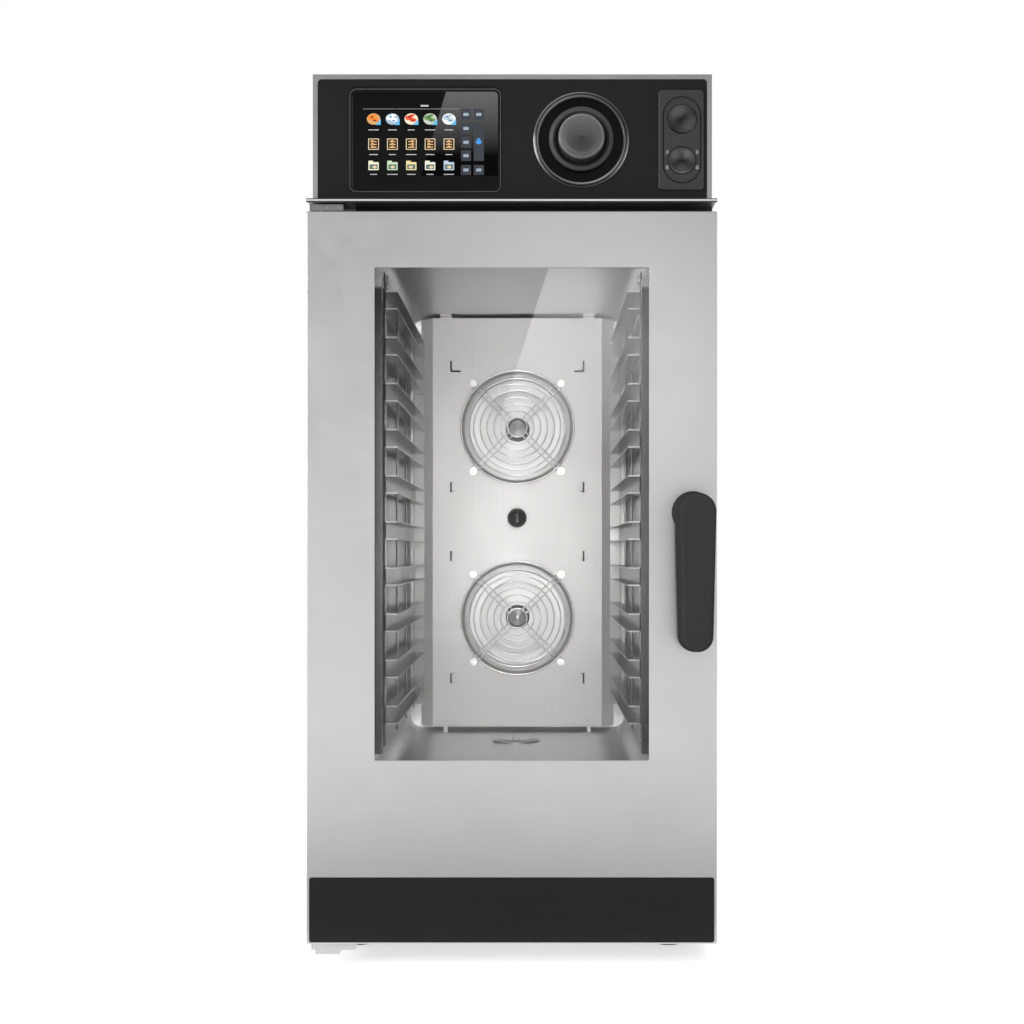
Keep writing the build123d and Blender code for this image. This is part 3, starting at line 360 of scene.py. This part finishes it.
KNOB = middle("control_knob")
BUTTON = middle("power_button")
CAP = middle("probe_cap")
dress(["door_outer_panel"], steel_door)
dress(["left_side_panel", "right_side_panel", "top_panel", "front_frame", "fascia_frame"], steel_body_shaded)
dress(["rear_panel", "door_inner_frame"], steel_back)
dress(["base_frame", "drain_pipe", "steam_vent", "upper_heater", "lower_heater"], steel_mill)
dress(["cavity_liner"], steel_cavity)
dress(["baffle", "baffle_fasteners"], steel_baffle)
dress(["drain_strainer"], steel_cavity)
dress(["upper_impeller", "lower_impeller"], steel_fan)
dress(["upper_fan_guard", "lower_fan_guard", "cavity_probe", "water_injector"], steel_wire)
dress(["door_keeper", "upper_hinge_bracket", "lower_hinge_bracket", "door_latch"], steel_hinge)
dress(["inner_glass_clips", "encoder_shaft"], steel_hinge)
dress(["feet", "cable_gland"], black_plastic)
dress(["handle_rosette", "handle_grip"], handle_black)
dress(["baffle_knob"], black_gloss)
dress(["cooling_fan_housing", "cooling_fan_rotor"], fan_plastic)
dress(["door_gasket"], black_silicone)
dress(["cavity_insulation"], wool)
dress(["control_panel"], black_panel)
dress(["lower_band_glass"], black_band)
dress(["display_glass"], display_black)
dress(["visor"], dark_visor)
dress(["socket_plate"], dark_plate)
dress(["outer_glass"], window_pane)
dress(["inner_glass"], inner_pane)
dress(["upper_fan_motor", "lower_fan_motor"], motor_enamel)
dress(["control_board"], board_green)
dress(["contactors"], grey_plastic)
dress(["inlet_valves", "door_hinge_bushes"], brass)


def lamp_lens(name):
    """Milky lamp cover: light metal end at the top, a painted grey sheen along its height that fades to dark at
    both ends.
    """
    made, tree, shader, place = material(name)
    low, high = box_of("left_led_bar")
    along = spread(tree, height_of(tree, place), 0, 1, low.z, high.z)
    # Painted sheen by height: the grey peak round 0.40 stands in for a reflection on the cover.
    tone = ramp(tree, along, (
        (0.0, grey(60)), (0.03, grey(20)), (0.10, linear(76, 76, 75)), (0.40, linear(152, 151, 150)),
        (0.75, linear(128, 127, 126)), (0.945, grey(34)), (0.975, grey(26)), (0.98, linear(196, 195, 194)),
    ))
    cloud = noise(tree, scaled(tree, place, (1, 1, 0.2)), 60.0, 3.0)
    clouded = ramp(tree, cloud, ((0.3, (0.85, 0.85, 0.85, 1)), (0.7, (1, 1, 1, 1))))
    tree.links.new(mixed(tree, 1.0, tone, clouded, "MULTIPLY"), shader.inputs["Base Color"])
    tree.links.new(spread(tree, cloud, 0.22, 0.36), shader.inputs["Roughness"])
    return made


def rack_steel(name):
    """Polished runner steel with painted light and shade by place: sides and webs painted dark as shade,
    lighter on the inner lips and at the rear stops as painted light.
    """
    made, tree, shader, place = material(name)
    split = tree.nodes.new("ShaderNodeSeparateXYZ")
    tree.links.new(place, split.inputs[0])
    inward = tree.nodes.new("ShaderNodeMath")
    inward.operation = "ABSOLUTE"
    tree.links.new(split.outputs["X"], inward.inputs[0])
    # Painted light on the inner lips, painted shade on the sides and webs.
    lip = ramp(tree, spread(tree, inward.outputs[0], 0, 1, 0.160, 0.168), (
        (0.0, linear(124, 124, 123)), (0.45, linear(96, 96, 95)), (0.6, grey(34)), (1.0, grey(44)),
    ))
    # Painted light on the rear stops.
    rear = spread(tree, split.outputs["Y"], 0, 1, 0.17, 0.23)
    toned = mixed(tree, rear, lip, linear(206, 206, 204))
    lines = noise(tree, scaled(tree, place, (1400, 9, 1400)), 1.0, 3.0)
    worn = ramp(tree, lines, ((0.25, (0.88, 0.88, 0.88, 1)), (0.75, (1, 1, 1, 1))))
    tree.links.new(mixed(tree, 1.0, toned, worn, "MULTIPLY"), shader.inputs["Base Color"])
    tree.links.new(spread(tree, lines, 0.16, 0.24), shader.inputs["Roughness"])
    shader.inputs["Metallic"].default_value = 0.35
    return made


dress(["left_rack", "right_rack"], rack_steel("rack_steel"))
dress(["left_led_bar", "right_led_bar"], lamp_lens("lamp_lens"))
# Knob tones by radius: a painted highlight on the face's rim at 0.69, a painted shadow ring from 0.71 to 0.79
# where the knob sits in its recess, then the dark grey skirt.
KNOB_STOPS = (
    (0.0, grey(80)), (0.35, grey(94)), (0.62, grey(114)), (0.69, linear(168, 168, 167)),
    (0.71, grey(12)), (0.79, grey(14)), (0.82, linear(78, 78, 77)), (1.0, linear(70, 70, 69)),
)
# Button and probe cap tones by radius: painted shading, dark at the centre and at the rim.
DISC_STOPS = ((0.0, grey(20)), (0.12, grey(58)), (0.6, linear(96, 95, 95)), (0.93, grey(84)), (1.0, grey(24)))
# Ring tones by radius: the light lines at 0.915 and 0.985 are painted highlights for light caught on the ring's
# chamfered edges.
RING_STOPS = (
    (0.0, grey(20)), (0.88, linear(54, 54, 53)), (0.90, linear(96, 96, 95)), (0.915, linear(150, 150, 148)),
    (0.93, linear(66, 66, 65)), (0.97, linear(72, 72, 71)), (0.985, linear(150, 150, 148)), (1.0, grey(70)),
)
dress(["knob_ring"], turned_face("ring_metal", KNOB, RING_STOPS, 0.0612, 0.26, 0.7, 2.0))
dress(["power_button"], turned_face("button_metal", BUTTON, DISC_STOPS, 0.0188, 0.24, 0.7, 2.0))
dress(["probe_cap"], turned_face("cap_metal", CAP, DISC_STOPS, 0.0178, 0.24, 0.7, 3.0))
dress(["control_knob"], turned_face("knob_metal", KNOB, KNOB_STOPS, 0.0416, 0.34, 0.6, 1.0))


# ---------------------------------------------------------------- mesh helpers

def piece(name, verts, faces, made, body, slot, smooth=False):
    """New mesh piece in the shared frame, riding on a body."""
    mesh = bpy.data.meshes.new(name)
    mesh.from_pydata(verts, [], faces)
    mesh.update()
    holder = bmesh.new()
    holder.from_mesh(mesh)
    bmesh.ops.recalc_face_normals(holder, faces=holder.faces)
    holder.to_mesh(mesh)
    holder.free()
    for polygon in mesh.polygons:
        polygon.use_smooth = smooth
    mesh.materials.append(made)
    made_object = bpy.data.objects.new(name, mesh)
    bpy.context.scene.collection.objects.link(made_object)
    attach(made_object, body)
    return made_object


def outline_plate(outline, front, depth):
    """Vertices and faces of a flat plate: an (x, z) outline, its front at y = front."""
    count = len(outline)
    verts = [(x, front, z) for x, z in outline] + [(x, front + depth, z) for x, z in outline]
    faces = [tuple(range(count)), tuple(range(2 * count - 1, count - 1, -1))]
    faces += [(i, (i + 1) % count, (i + 1) % count + count, i + count) for i in range(count)]
    return verts, faces


def rounded(x0, x1, z0, z1, radius, steps=4):
    """Outline of a rectangle with round corners."""
    points = []
    for cx, cz, start in (
        (x1 - radius, z1 - radius, 0), (x0 + radius, z1 - radius, 90),
        (x0 + radius, z0 + radius, 180), (x1 - radius, z0 + radius, 270),
    ):
        for step in range(steps + 1):
            angle = radians(start + 90 * step / steps)
            points.append((cx + radius * cos(angle), cz + radius * sin(angle)))
    return points


def disc(x, z, wide, tall, steps=20):
    """Outline of an ellipse."""
    return [(x + wide * cos(2 * pi * i / steps), z + tall * sin(2 * pi * i / steps)) for i in range(steps)]


def band_plate(outer, inner, front, depth):
    """Vertices and faces of a flat ring between two outlines with the same number of points."""
    count = len(outer)
    verts = [(x, y, z) for y in (front, front + depth) for line in (outer, inner) for x, z in line]
    faces = []
    for i in range(count):
        after = (i + 1) % count
        for first, second in ((0, 1), (1, 3), (3, 2), (2, 0)):
            faces.append((first * count + i, first * count + after, second * count + after, second * count + i))
    return verts, faces


def merged(parts):
    """Several (vertices, faces) lists as one."""
    verts, faces = [], []
    for some_verts, some_faces in parts:
        start = len(verts)
        verts += some_verts
        faces += [tuple(index + start for index in face) for face in some_faces]
    return verts, faces


# ---------------------------------------------------------------- display graphics

GLASS_FRONT = box_of("display_glass")[0].y
INK = 0.00012
DISPLAY_LEFT = box_of("display_glass")[0].x
DISPLAY_TOP = box_of("display_glass")[1].z
COLUMN_PITCH = 24.06 * MM
FIRST_COLUMN = DISPLAY_LEFT + 27.7 * MM


def ink(name, outlines, colour, power=0.9, layer=0):
    """One colour of the display's picture, as thin shapes on the glass."""
    front = GLASS_FRONT - INK * (1 + layer)
    verts, faces = merged([outline_plate(outline, front, INK * 0.8) for outline in outlines])
    return piece(name, verts, faces, lit(f"{name}_ink", colour, power), "body", "black_glass")


def column(index):
    """X of the middle of one of the display's five picture columns."""
    return FIRST_COLUMN + COLUMN_PITCH * index


FOOD_Z = DISPLAY_TOP - 34.7 * MM
SHELF_ROW_Z = DISPLAY_TOP - 67.8 * MM
FOLDER_Z = DISPLAY_TOP - 95.0 * MM
LABEL_ZS = (DISPLAY_TOP - 49.6 * MM, DISPLAY_TOP - 81.1 * MM, DISPLAY_TOP - 106.4 * MM)
PLATE_COLOURS = (
    (linear(196, 150, 96), linear(214, 120, 44), linear(110, 58, 30)),
    (linear(150, 170, 186), linear(224, 228, 232), linear(60, 110, 160)),
    (linear(224, 206, 186), linear(206, 76, 44), linear(120, 34, 24)),
    (linear(178, 186, 176), linear(92, 132, 62), linear(54, 84, 110)),
    (linear(214, 218, 218), linear(170, 182, 190), linear(84, 132, 170)),
)
SKY = linear(86, 156, 200)
for index, (dish, food, sauce) in enumerate(PLATE_COLOURS):
    x = column(index)
    ink(f"dish_{index}", [disc(x, FOOD_Z - 1 * MM, 8.6 * MM, 7.2 * MM)], dish, 0.34)
    ink(
        f"food_{index}",
        [
            disc(x - 3 * MM, FOOD_Z + 0.6 * MM, 4.8 * MM, 3.2 * MM),
            disc(x + 2.4 * MM, FOOD_Z - 2.2 * MM, 4.4 * MM, 2.4 * MM),
            disc(x + 1.2 * MM, FOOD_Z + 3.6 * MM, 3.2 * MM, 1.6 * MM),
        ],
        food, 0.42, 1,
    )
    ink(
        f"sauce_{index}",
        [
            disc(x - 2.4 * MM, FOOD_Z + 1.6 * MM, 1.9 * MM, 1.1 * MM),
            disc(x + 1.6 * MM, FOOD_Z - 3.0 * MM, 2.2 * MM, 0.9 * MM),
        ],
        sauce, 0.4, 2,
    )
ink(
    "dish_corners",
    [
        [
            (column(i) + 2.4 * MM, FOOD_Z - 8.6 * MM), (column(i) + 9.2 * MM, FOOD_Z - 8.6 * MM),
            (column(i) + 9.2 * MM, FOOD_Z - 1.2 * MM),
        ]
        for i in range(5)
    ],
    SKY, 0.5, 3,
)


def shelf_box(index, inset):
    """Outline of one oven picture, drawn in from its edge."""
    x = column(index)
    wide = 6.8 * MM - inset
    tall = 7.2 * MM - inset
    return rounded(x - wide, x + wide, SHELF_ROW_Z - tall, SHELF_ROW_Z + tall, 0.6 * MM)


frames, trays = [], []
for index in range(5):
    x = column(index)
    frames.append(band_plate(shelf_box(index, 0), shelf_box(index, 1.0 * MM), GLASS_FRONT - INK, INK * 0.8))
    for level in (-4.0, -0.4, 3.2):
        z = SHELF_ROW_Z + level * MM
        trays.append(rounded(x - 4 * MM, x + 4 * MM, z - 0.7 * MM, z + 0.7 * MM, 0.4 * MM))
        trays.append(disc(x + (index % 3 - 1) * 1.6 * MM, z + 1.3 * MM, 1.7 * MM, 0.8 * MM))
piece("oven_icons", *merged(frames), lit("oven_icon_ink", linear(206, 184, 150), 0.4), "body", "black_glass")
ink("oven_icon_trays", trays, linear(198, 158, 108), 0.4, 1)

FOLDER_COLOURS = (
    linear(226, 220, 196), linear(190, 208, 176), linear(222, 206, 150), linear(224, 222, 206),
    linear(176, 192, 206),
)
for index, colour in enumerate(FOLDER_COLOURS):
    x = column(index)
    ink(
        f"folder_{index}",
        [
            rounded(x - 6.6 * MM, x + 6.6 * MM, FOLDER_Z - 6 * MM, FOLDER_Z + 4.2 * MM, 0.8 * MM),
            rounded(x - 6.6 * MM, x - 0.6 * MM, FOLDER_Z + 4.0 * MM, FOLDER_Z + 6 * MM, 0.6 * MM),
        ],
        colour, 0.3,
    )
ink(
    "folder_pictures",
    [
        rounded(column(i) - 5.2 * MM, column(i) + 5.2 * MM, FOLDER_Z - 4.8 * MM, FOLDER_Z + 1.4 * MM, 0.4 * MM)
        for i in range(5)
    ],
    linear(92, 112, 110), 0.25, 1,
)
ink(
    "folder_marks",
    [disc(column(i) + (1.4 - i % 3) * MM, FOLDER_Z - 2.2 * MM, 2.8 * MM, 1.8 * MM) for i in range(5)],
    linear(206, 190, 150), 0.35, 2,
)

labels = []
for row, z in enumerate(LABEL_ZS):
    for index in range(5):
        half = (6.6 - 1.1 * ((index + row) % 3)) * MM
        labels.append(rounded(column(index) - half, column(index) + half, z - 0.5 * MM, z + 0.5 * MM, 0.2 * MM))
TITLE_X = column(2) + 17 * MM
TITLE_Z = DISPLAY_TOP - 18.8 * MM
labels.append(rounded(TITLE_X - 5 * MM, TITLE_X + 5 * MM, TITLE_Z - 1 * MM, TITLE_Z + 1 * MM, 0.4 * MM))
ink("label_dashes", labels, linear(180, 182, 184), 0.35)
LINE_Z = DISPLAY_TOP - 22.8 * MM
ink(
    "title_line",
    [rounded(DISPLAY_LEFT + 14 * MM, DISPLAY_LEFT + 137 * MM, LINE_Z - 0.3 * MM, LINE_Z + 0.3 * MM, 0.1 * MM)],
    linear(120, 124, 130), 0.5,
)

CELL_COLUMNS = ((139.4, 152.1), (155.6, 168.7))
CELL_ROWS = ((22.8, 36.9), (40.7, 54.8), (58.2, 72.6), (75.8, 89.3), (94.4, 107.2))
cells, marks = [], []
for place, (left, right) in enumerate(CELL_COLUMNS):
    for row, (high, low) in enumerate(CELL_ROWS):
        if place == 1 and row in (2, 3):
            continue
        low_edge = CELL_ROWS[3][1] if place == 1 and row == 1 else low
        cells.append(
            rounded(
                DISPLAY_LEFT + left * MM, DISPLAY_LEFT + right * MM,
                DISPLAY_TOP - low_edge * MM, DISPLAY_TOP - high * MM, 0.8 * MM,
            )
        )
        if place == 0 or row != 1:
            x = DISPLAY_LEFT + (left + right) / 2 * MM
            z = DISPLAY_TOP - (high + low) / 2 * MM
            marks.append(rounded(x - 3.4 * MM, x + 3.4 * MM, z - 1.9 * MM, z + 1.9 * MM, 0.8 * MM))
ink("side_cells", cells, linear(44, 48, 54), 0.5)
ink("side_marks", marks, linear(140, 152, 164), 0.4, 1)
BLUE_X = DISPLAY_LEFT + 162 * MM
BLUE_Z = DISPLAY_TOP - 65 * MM
ink(
    "blue_mark",
    [disc(BLUE_X, BLUE_Z, 3.6 * MM, 3.0 * MM), disc(BLUE_X, BLUE_Z + 3 * MM, 2.1 * MM, 1.8 * MM)],
    linear(56, 130, 190), 0.7, 1,
)


# ---------------------------------------------------------------- trims

def ring_of(name, limits, width, radius, front, depth, made, slot, body="body"):
    """Flat ring along a rounded rectangle (x0, x1, z0, z1), its width measured inwards."""
    x0, x1, z0, z1 = limits
    outer = rounded(x0, x1, z0, z1, radius, 8)
    inner = rounded(x0 + width, x1 - width, z0 + width, z1 - width, max(radius - width, 0.0002), 8)
    return piece(name, *band_plate(outer, inner, front, depth), made, body, slot)


# Light grey that is a painted highlight on the display rim.
rim_highlight_grey = moulded("rim_highlight_grey", linear(88, 88, 88), 0.3, 1200.0, 0.03)
# Black for the real black ring round the knob, and for thin sheets that are painted shade in the socket groove
# and the baffle's hook slots.
black_trim_and_shade = moulded("black_trim_and_shade", linear(6, 6, 6), 0.2, 900.0, 0.02, shine=0.2)
panel_front = box_of("control_panel")[0].y
glass_low, glass_high = box_of("display_glass")
rim = (glass_low.x - 3.2 * MM, glass_high.x + 3.2 * MM, glass_low.z - 3.4 * MM, glass_high.z + 3.4 * MM)
# Painted highlight: the display's raised rim is coloured light grey for the light caught on its edge.
ring_of("display_rim", rim, 0.9 * MM, 8.5 * MM, panel_front + 0.2 * MM, 1.2 * MM, rim_highlight_grey, "ring_metal")
well_outer = disc(KNOB.x, KNOB.z, 53.8 * MM, 53.8 * MM, 96)
well_inner = disc(KNOB.x, KNOB.z, 20 * MM, 20 * MM, 96)
well = band_plate(well_outer, well_inner, panel_front + 1.7 * MM, 0.2 * MM)
piece("knob_well", *well, black_trim_and_shade, "body", "black_panel")
plate_front = panel_front - 3 * MM
capsule = (BUTTON.x - 24.6 * MM, BUTTON.x + 24.6 * MM, CAP.z - 29.9 * MM, BUTTON.z + 28.9 * MM)
# Painted shade: a thin black ring stands for the shade in the groove round the socket plate.
groove_front = plate_front - 0.06 * MM
ring_of("socket_groove_shade", capsule, 1.3 * MM, 24.5 * MM, groove_front, 0.05 * MM, black_trim_and_shade, "black_panel")
lugs = []
for side in (-1, 1):
    for level in (-1, 1):
        x = CAP.x + side * 19.2 * MM
        z = CAP.z + level * 9.7 * MM
        lug = rounded(x - 1.9 * MM, x + 1.9 * MM, z - 2.5 * MM, z + 2.5 * MM, 0.7 * MM)
        lugs.append(outline_plate(lug, plate_front - 1.8 * MM, 1.7 * MM))
piece("socket_lugs", *merged(lugs), steel_hinge, "body", "hinge_steel")
visor_low, visor_high = box_of("visor")
# Painted highlight: a light strip just under the visor's top stands for light on its rounded top edge.
visor_strip = rounded(
    visor_low.x + 0.4 * MM, visor_high.x - 0.4 * MM, visor_high.z - 3.6 * MM, visor_high.z - 1.5 * MM, 0.4 * MM
)
visor_face = outline_plate(visor_strip, visor_low.y - 0.35 * MM, 0.3 * MM)
piece("visor_edge_highlight", *visor_face, painted_highlight_steel, "body", "hinge_steel")

BAFFLE_FRONT = 253 * MM
HOOK_X = 108.4 * MM
HOOK_ZS = (822 * MM, 624 * MM, 511.5 * MM, 312 * MM)
# Painted shade: thin black sheets on the baffle front stand for the shade inside its punched hook slots.
slots = []
for row, z in enumerate(HOOK_ZS):
    for side in (-1, 1):
        x = side * HOOK_X
        slots.append(rounded(x - 1.3 * MM, x + 1.3 * MM, z - 9 * MM, z + 8 * MM, 0.4 * MM))
        if row == 0:
            x = side * 100.5 * MM
            slots.append(rounded(x - 8 * MM, x + 8 * MM, z - 10.4 * MM, z - 7.8 * MM, 0.4 * MM))
hooks = [outline_plate(slot, BAFFLE_FRONT - 0.12 * MM, 0.1 * MM) for slot in slots]
lit_inside = [piece("hook_slot_shade", *merged(hooks), black_trim_and_shade, "body", "black_panel")]

LEVELS = 10
TRAY_PITCH = 60 * MM
LOWEST_LIP_ZS = (294.35 * MM, 316.85 * MM)
rack_front = box_of("left_rack")[0].y
# Painted highlights: thin bright strips on the front edges of the runner flanges stand for light caught on
# those edges.
for side, body in ((-1, "left_tray_rack"), (1, "right_tray_rack")):
    tips = []
    for level in range(LEVELS):
        for lowest_z in LOWEST_LIP_ZS:
            z = lowest_z + TRAY_PITCH * level
            near, far = sorted((side * 150.2 * MM, side * 165.5 * MM))
            lip = rounded(near, far, z - 0.85 * MM, z + 0.85 * MM, 0.4 * MM)
            tips.append(outline_plate(lip, rack_front - 0.35 * MM, 0.3 * MM))
    tips_name = "left_runner_highlights" if side < 0 else "right_runner_highlights"
    lit_inside.append(piece(tips_name, *merged(tips), painted_highlight_steel, body, "polished_wire"))
soften(["left_side_panel", "right_side_panel", "top_panel", "fascia_frame"], 0.0005)
soften(["upper_hinge_bracket", "lower_hinge_bracket", "socket_plate", "contactors", "door_keeper"], 0.0006)


# ---------------------------------------------------------------- screws

def screws(name, places, axis, radius, body, slot, made):
    """Button-head screws with a six-lobed recess, heads at the places, pointing along the axis."""
    parts = []
    turn = Vector((0, 0, 1)).rotation_difference(Vector(axis)).to_matrix()
    steps = 24
    profile = ((1.0, 0.0), (0.98, 0.22), (0.82, 0.42), (0.52, 0.52))
    for place in places:
        verts, faces = [], []
        for ring, (wide, high) in enumerate(profile):
            for step in range(steps):
                angle = 2 * pi * step / steps
                verts.append(Vector((radius * wide * cos(angle), radius * wide * sin(angle), radius * high)))
        for depth in (0.5, 0.18):
            for step in range(steps):
                angle = 2 * pi * step / steps
                lobe = 0.40 + 0.07 * cos(6 * angle)
                verts.append(Vector((radius * lobe * cos(angle), radius * lobe * sin(angle), radius * depth)))
        for ring in range(len(profile) + 1):
            for step in range(steps):
                after = (step + 1) % steps
                this_ring, next_ring = ring * steps, (ring + 1) * steps
                faces.append((this_ring + step, this_ring + after, next_ring + after, next_ring + step))
        faces.append(tuple(range((len(profile) + 1) * steps, (len(profile) + 2) * steps)))
        faces.append(tuple(range(steps - 1, -1, -1)))
        parts.append(([tuple(turn @ v + Vector(place)) for v in verts], faces))
    verts, faces = merged(parts)
    return piece(name, verts, faces, made, body, slot, smooth=True)


rear_low, rear_high = box_of("rear_panel")
rear_places = []
for part in range(6):
    z = rear_low.z + 0.03 + (rear_high.z - rear_low.z - 0.06) * part / 5
    rear_places += [(rear_low.x + 0.009, rear_high.y, z), (rear_high.x - 0.009, rear_high.y, z)]
for part in range(1, 4):
    x = rear_low.x + (rear_high.x - rear_low.x) * part / 4
    rear_places += [(x, rear_high.y, rear_low.z + 0.012), (x, rear_high.y, rear_high.z - 0.012)]
screws("rear_panel_screws", rear_places, (0, 1, 0), 0.0042, "body", "hinge_steel", steel_hinge)


# ---------------------------------------------------------------- light, floor and camera

DOOR_FRONT = box_of("door_outer_panel")[0].y
CAMERA_BACK = 2.0
CAMERA = Vector((0.0289, DOOR_FRONT - CAMERA_BACK, 0.5177))


def sheet_of(name, corners, made):
    """Flat stage sheet from its corners."""
    mesh = bpy.data.meshes.new(name)
    mesh.from_pydata(corners, [], [tuple(range(len(corners)))])
    mesh.materials.append(made)
    sheet = bpy.data.objects.new(name, mesh)
    bpy.context.scene.collection.objects.link(sheet)
    return sheet


floor_material, floor_tree, floor_shader, floor_place = material("studio_floor")
floor_tone = ramp(
    floor_tree, noise(floor_tree, floor_place, 2.0), ((0.3, (0.86, 0.86, 0.86, 1)), (0.7, (0.9, 0.9, 0.9, 1)))
)
floor_tree.links.new(floor_tone, floor_shader.inputs["Base Color"])
floor_shader.inputs["Roughness"].default_value = 0.7
floor_shader.inputs["Emission Color"].default_value = (1, 1, 1, 1)
floor_shader.inputs["Emission Strength"].default_value = 0.55
sheet_of("floor", [(-9, -9, 0), (9, -9, 0), (9, 9, 0), (-9, 9, 0)], floor_material)


def glow(name, power, low, high):
    """Light-giving card that fades out downwards, from the height high to the height low."""
    made, tree, shader, place = material(name)
    shader.inputs["Base Color"].default_value = (0, 0, 0, 1)
    shader.inputs["Emission Color"].default_value = (1, 1, 1, 1)
    faded = spread(tree, height_of(tree, place), 0, power, low, high)
    tree.links.new(faded, shader.inputs["Emission Strength"])
    return made


def area(name, place, target, size, power, tall=None):
    """Soft area light aimed at a point."""
    data = bpy.data.lights.new(name, "AREA")
    data.energy = power
    data.shape = "RECTANGLE"
    data.size = size
    data.size_y = tall or size
    lamp = bpy.data.objects.new(name, data)
    lamp.location = place
    aim = Vector(target) - Vector(place)
    lamp.rotation_euler = aim.to_track_quat("-Z", "Y").to_euler()
    bpy.context.scene.collection.objects.link(lamp)
    return lamp


world = bpy.data.worlds.new("studio")
bpy.context.scene.world = world
world.use_nodes = True
sky = world.node_tree
sky_coords = sky.nodes.new("ShaderNodeTexCoord")
split = sky.nodes.new("ShaderNodeSeparateXYZ")
sky.links.new(sky_coords.outputs["Generated"], split.inputs[0])
sky_tone = ramp(
    sky, spread(sky, split.outputs["Z"], 0, 1, -1, 1),
    (
        (0.42, (0.70, 0.70, 0.70, 1)), (0.50, (0.95, 0.95, 0.95, 1)), (0.56, (0.45, 0.45, 0.45, 1)),
        (0.64, (0.16, 0.16, 0.16, 1)), (0.8, (0.5, 0.5, 0.5, 1)), (1.0, (0.9, 0.9, 0.9, 1)),
    ),
)
sky.links.new(sky_tone, sky.nodes["Background"].inputs["Color"])
sky.nodes["Background"].inputs["Strength"].default_value = 0.9
seen = sky.nodes.new("ShaderNodeLightPath")
plain = sky.nodes.new("ShaderNodeBackground")
plain.inputs["Color"].default_value = (1, 1, 1, 1)
either = sky.nodes.new("ShaderNodeMixShader")
sky.links.new(seen.outputs["Is Camera Ray"], either.inputs[0])
sky.links.new(sky.nodes["Background"].outputs[0], either.inputs[1])
sky.links.new(plain.outputs[0], either.inputs[2])
sky.links.new(either.outputs[0], sky.nodes["World Output"].inputs["Surface"])

area("key", (-2.6, -2.2, 1.3), (0, -0.3, 0.5), 1.6, 60)
area("fill", (2.6, -2.0, 1.3), (0, -0.3, 0.5), 1.6, 9)
area("rim", (0.5, 2.6, 2.4), (0, 0.2, 0.6), 1.6, 40)

grey_card = moulded("grey_card", (0.45, 0.45, 0.45, 1), 0.9)
flag_corners = [(-1.5, -1.15, 0.004), (1.5, -1.15, 0.004), (1.5, -0.5, 0.004), (-1.5, -0.5, 0.004)]
floor_flag = sheet_of("floor_flag", flag_corners, grey_card)
floor_flag.visible_camera = False
floor_flag.visible_shadow = False
CARD_Y = -2.9
window_card = sheet_of(
    "window_card", [(0.067, CARD_Y, 1.316), (-0.10, CARD_Y, 0.80), (0.40, CARD_Y, 0.80), (0.40, CARD_Y, 1.36)],
    glow("window_glow", 4.2, 0.74, 1.10),
)
window_card.visible_camera = False
panel_card = sheet_of(
    "panel_card",
    [(-0.227, CARD_Y, 1.842), (-0.30, CARD_Y, 1.60), (-0.02, CARD_Y, 1.60), (-0.02, CARD_Y, 1.842)],
    glow("panel_glow", 4.2, 1.66, 1.88),
)
panel_card.visible_camera = False

inside = bpy.data.collections.new("inside")
for name in (
    "cavity_liner", "baffle", "baffle_fasteners", "baffle_knob", "upper_fan_guard", "lower_fan_guard",
    "upper_impeller", "lower_impeller", "upper_heater", "lower_heater", "left_rack", "right_rack",
    "drain_strainer", "water_injector", "cavity_probe",
):
    lit_inside.append(nodes[name])
for made_object in lit_inside:
    inside.objects.link(made_object)
beam_data = bpy.data.lights.new("cavity_beam", "SPOT")
beam_data.energy = 25
beam_data.spot_size = radians(24)
beam_data.spot_blend = 0.4
beam_data.shadow_soft_size = 0.10
beam = bpy.data.objects.new("cavity_beam", beam_data)
beam.location = (0.02, -2.5, 0.575)
beam.rotation_euler = (radians(90), 0, 0)
beam.light_linking.receiver_collection = inside
bpy.context.scene.collection.objects.link(beam)
walls = bpy.data.collections.new("walls")
for made_object in lit_inside:
    if "rack" not in made_object.name and "runner" not in made_object.name:
        walls.objects.link(made_object)
cavity_front = box_of("cavity_liner")[0].y
for side in (-1, 1):
    lamp = area(
        f"cavity_lamp_{'left' if side < 0 else 'right'}", (side * 0.03, cavity_front + 0.03, 0.57),
        (side * 0.178, 0.04, 0.57), 0.03, 0.62, 0.5,
    )
    lamp.light_linking.receiver_collection = walls
    lamp.light_linking.blocker_collection = walls

camera_data = bpy.data.cameras.new("camera")
camera_data.sensor_width = 36
camera_data.lens = 36 * CAMERA_BACK / (1024 * 1.241 * MM)
camera_data.shift_x = -23 / 1024
camera_data.shift_y = 40 / 1024
camera = bpy.data.objects.new("camera", camera_data)
camera.location = CAMERA
camera.rotation_euler = (radians(90), 0, 0)
bpy.context.scene.collection.objects.link(camera)
bpy.context.scene.camera = camera
bpy.context.scene.view_settings.view_transform = "Standard"
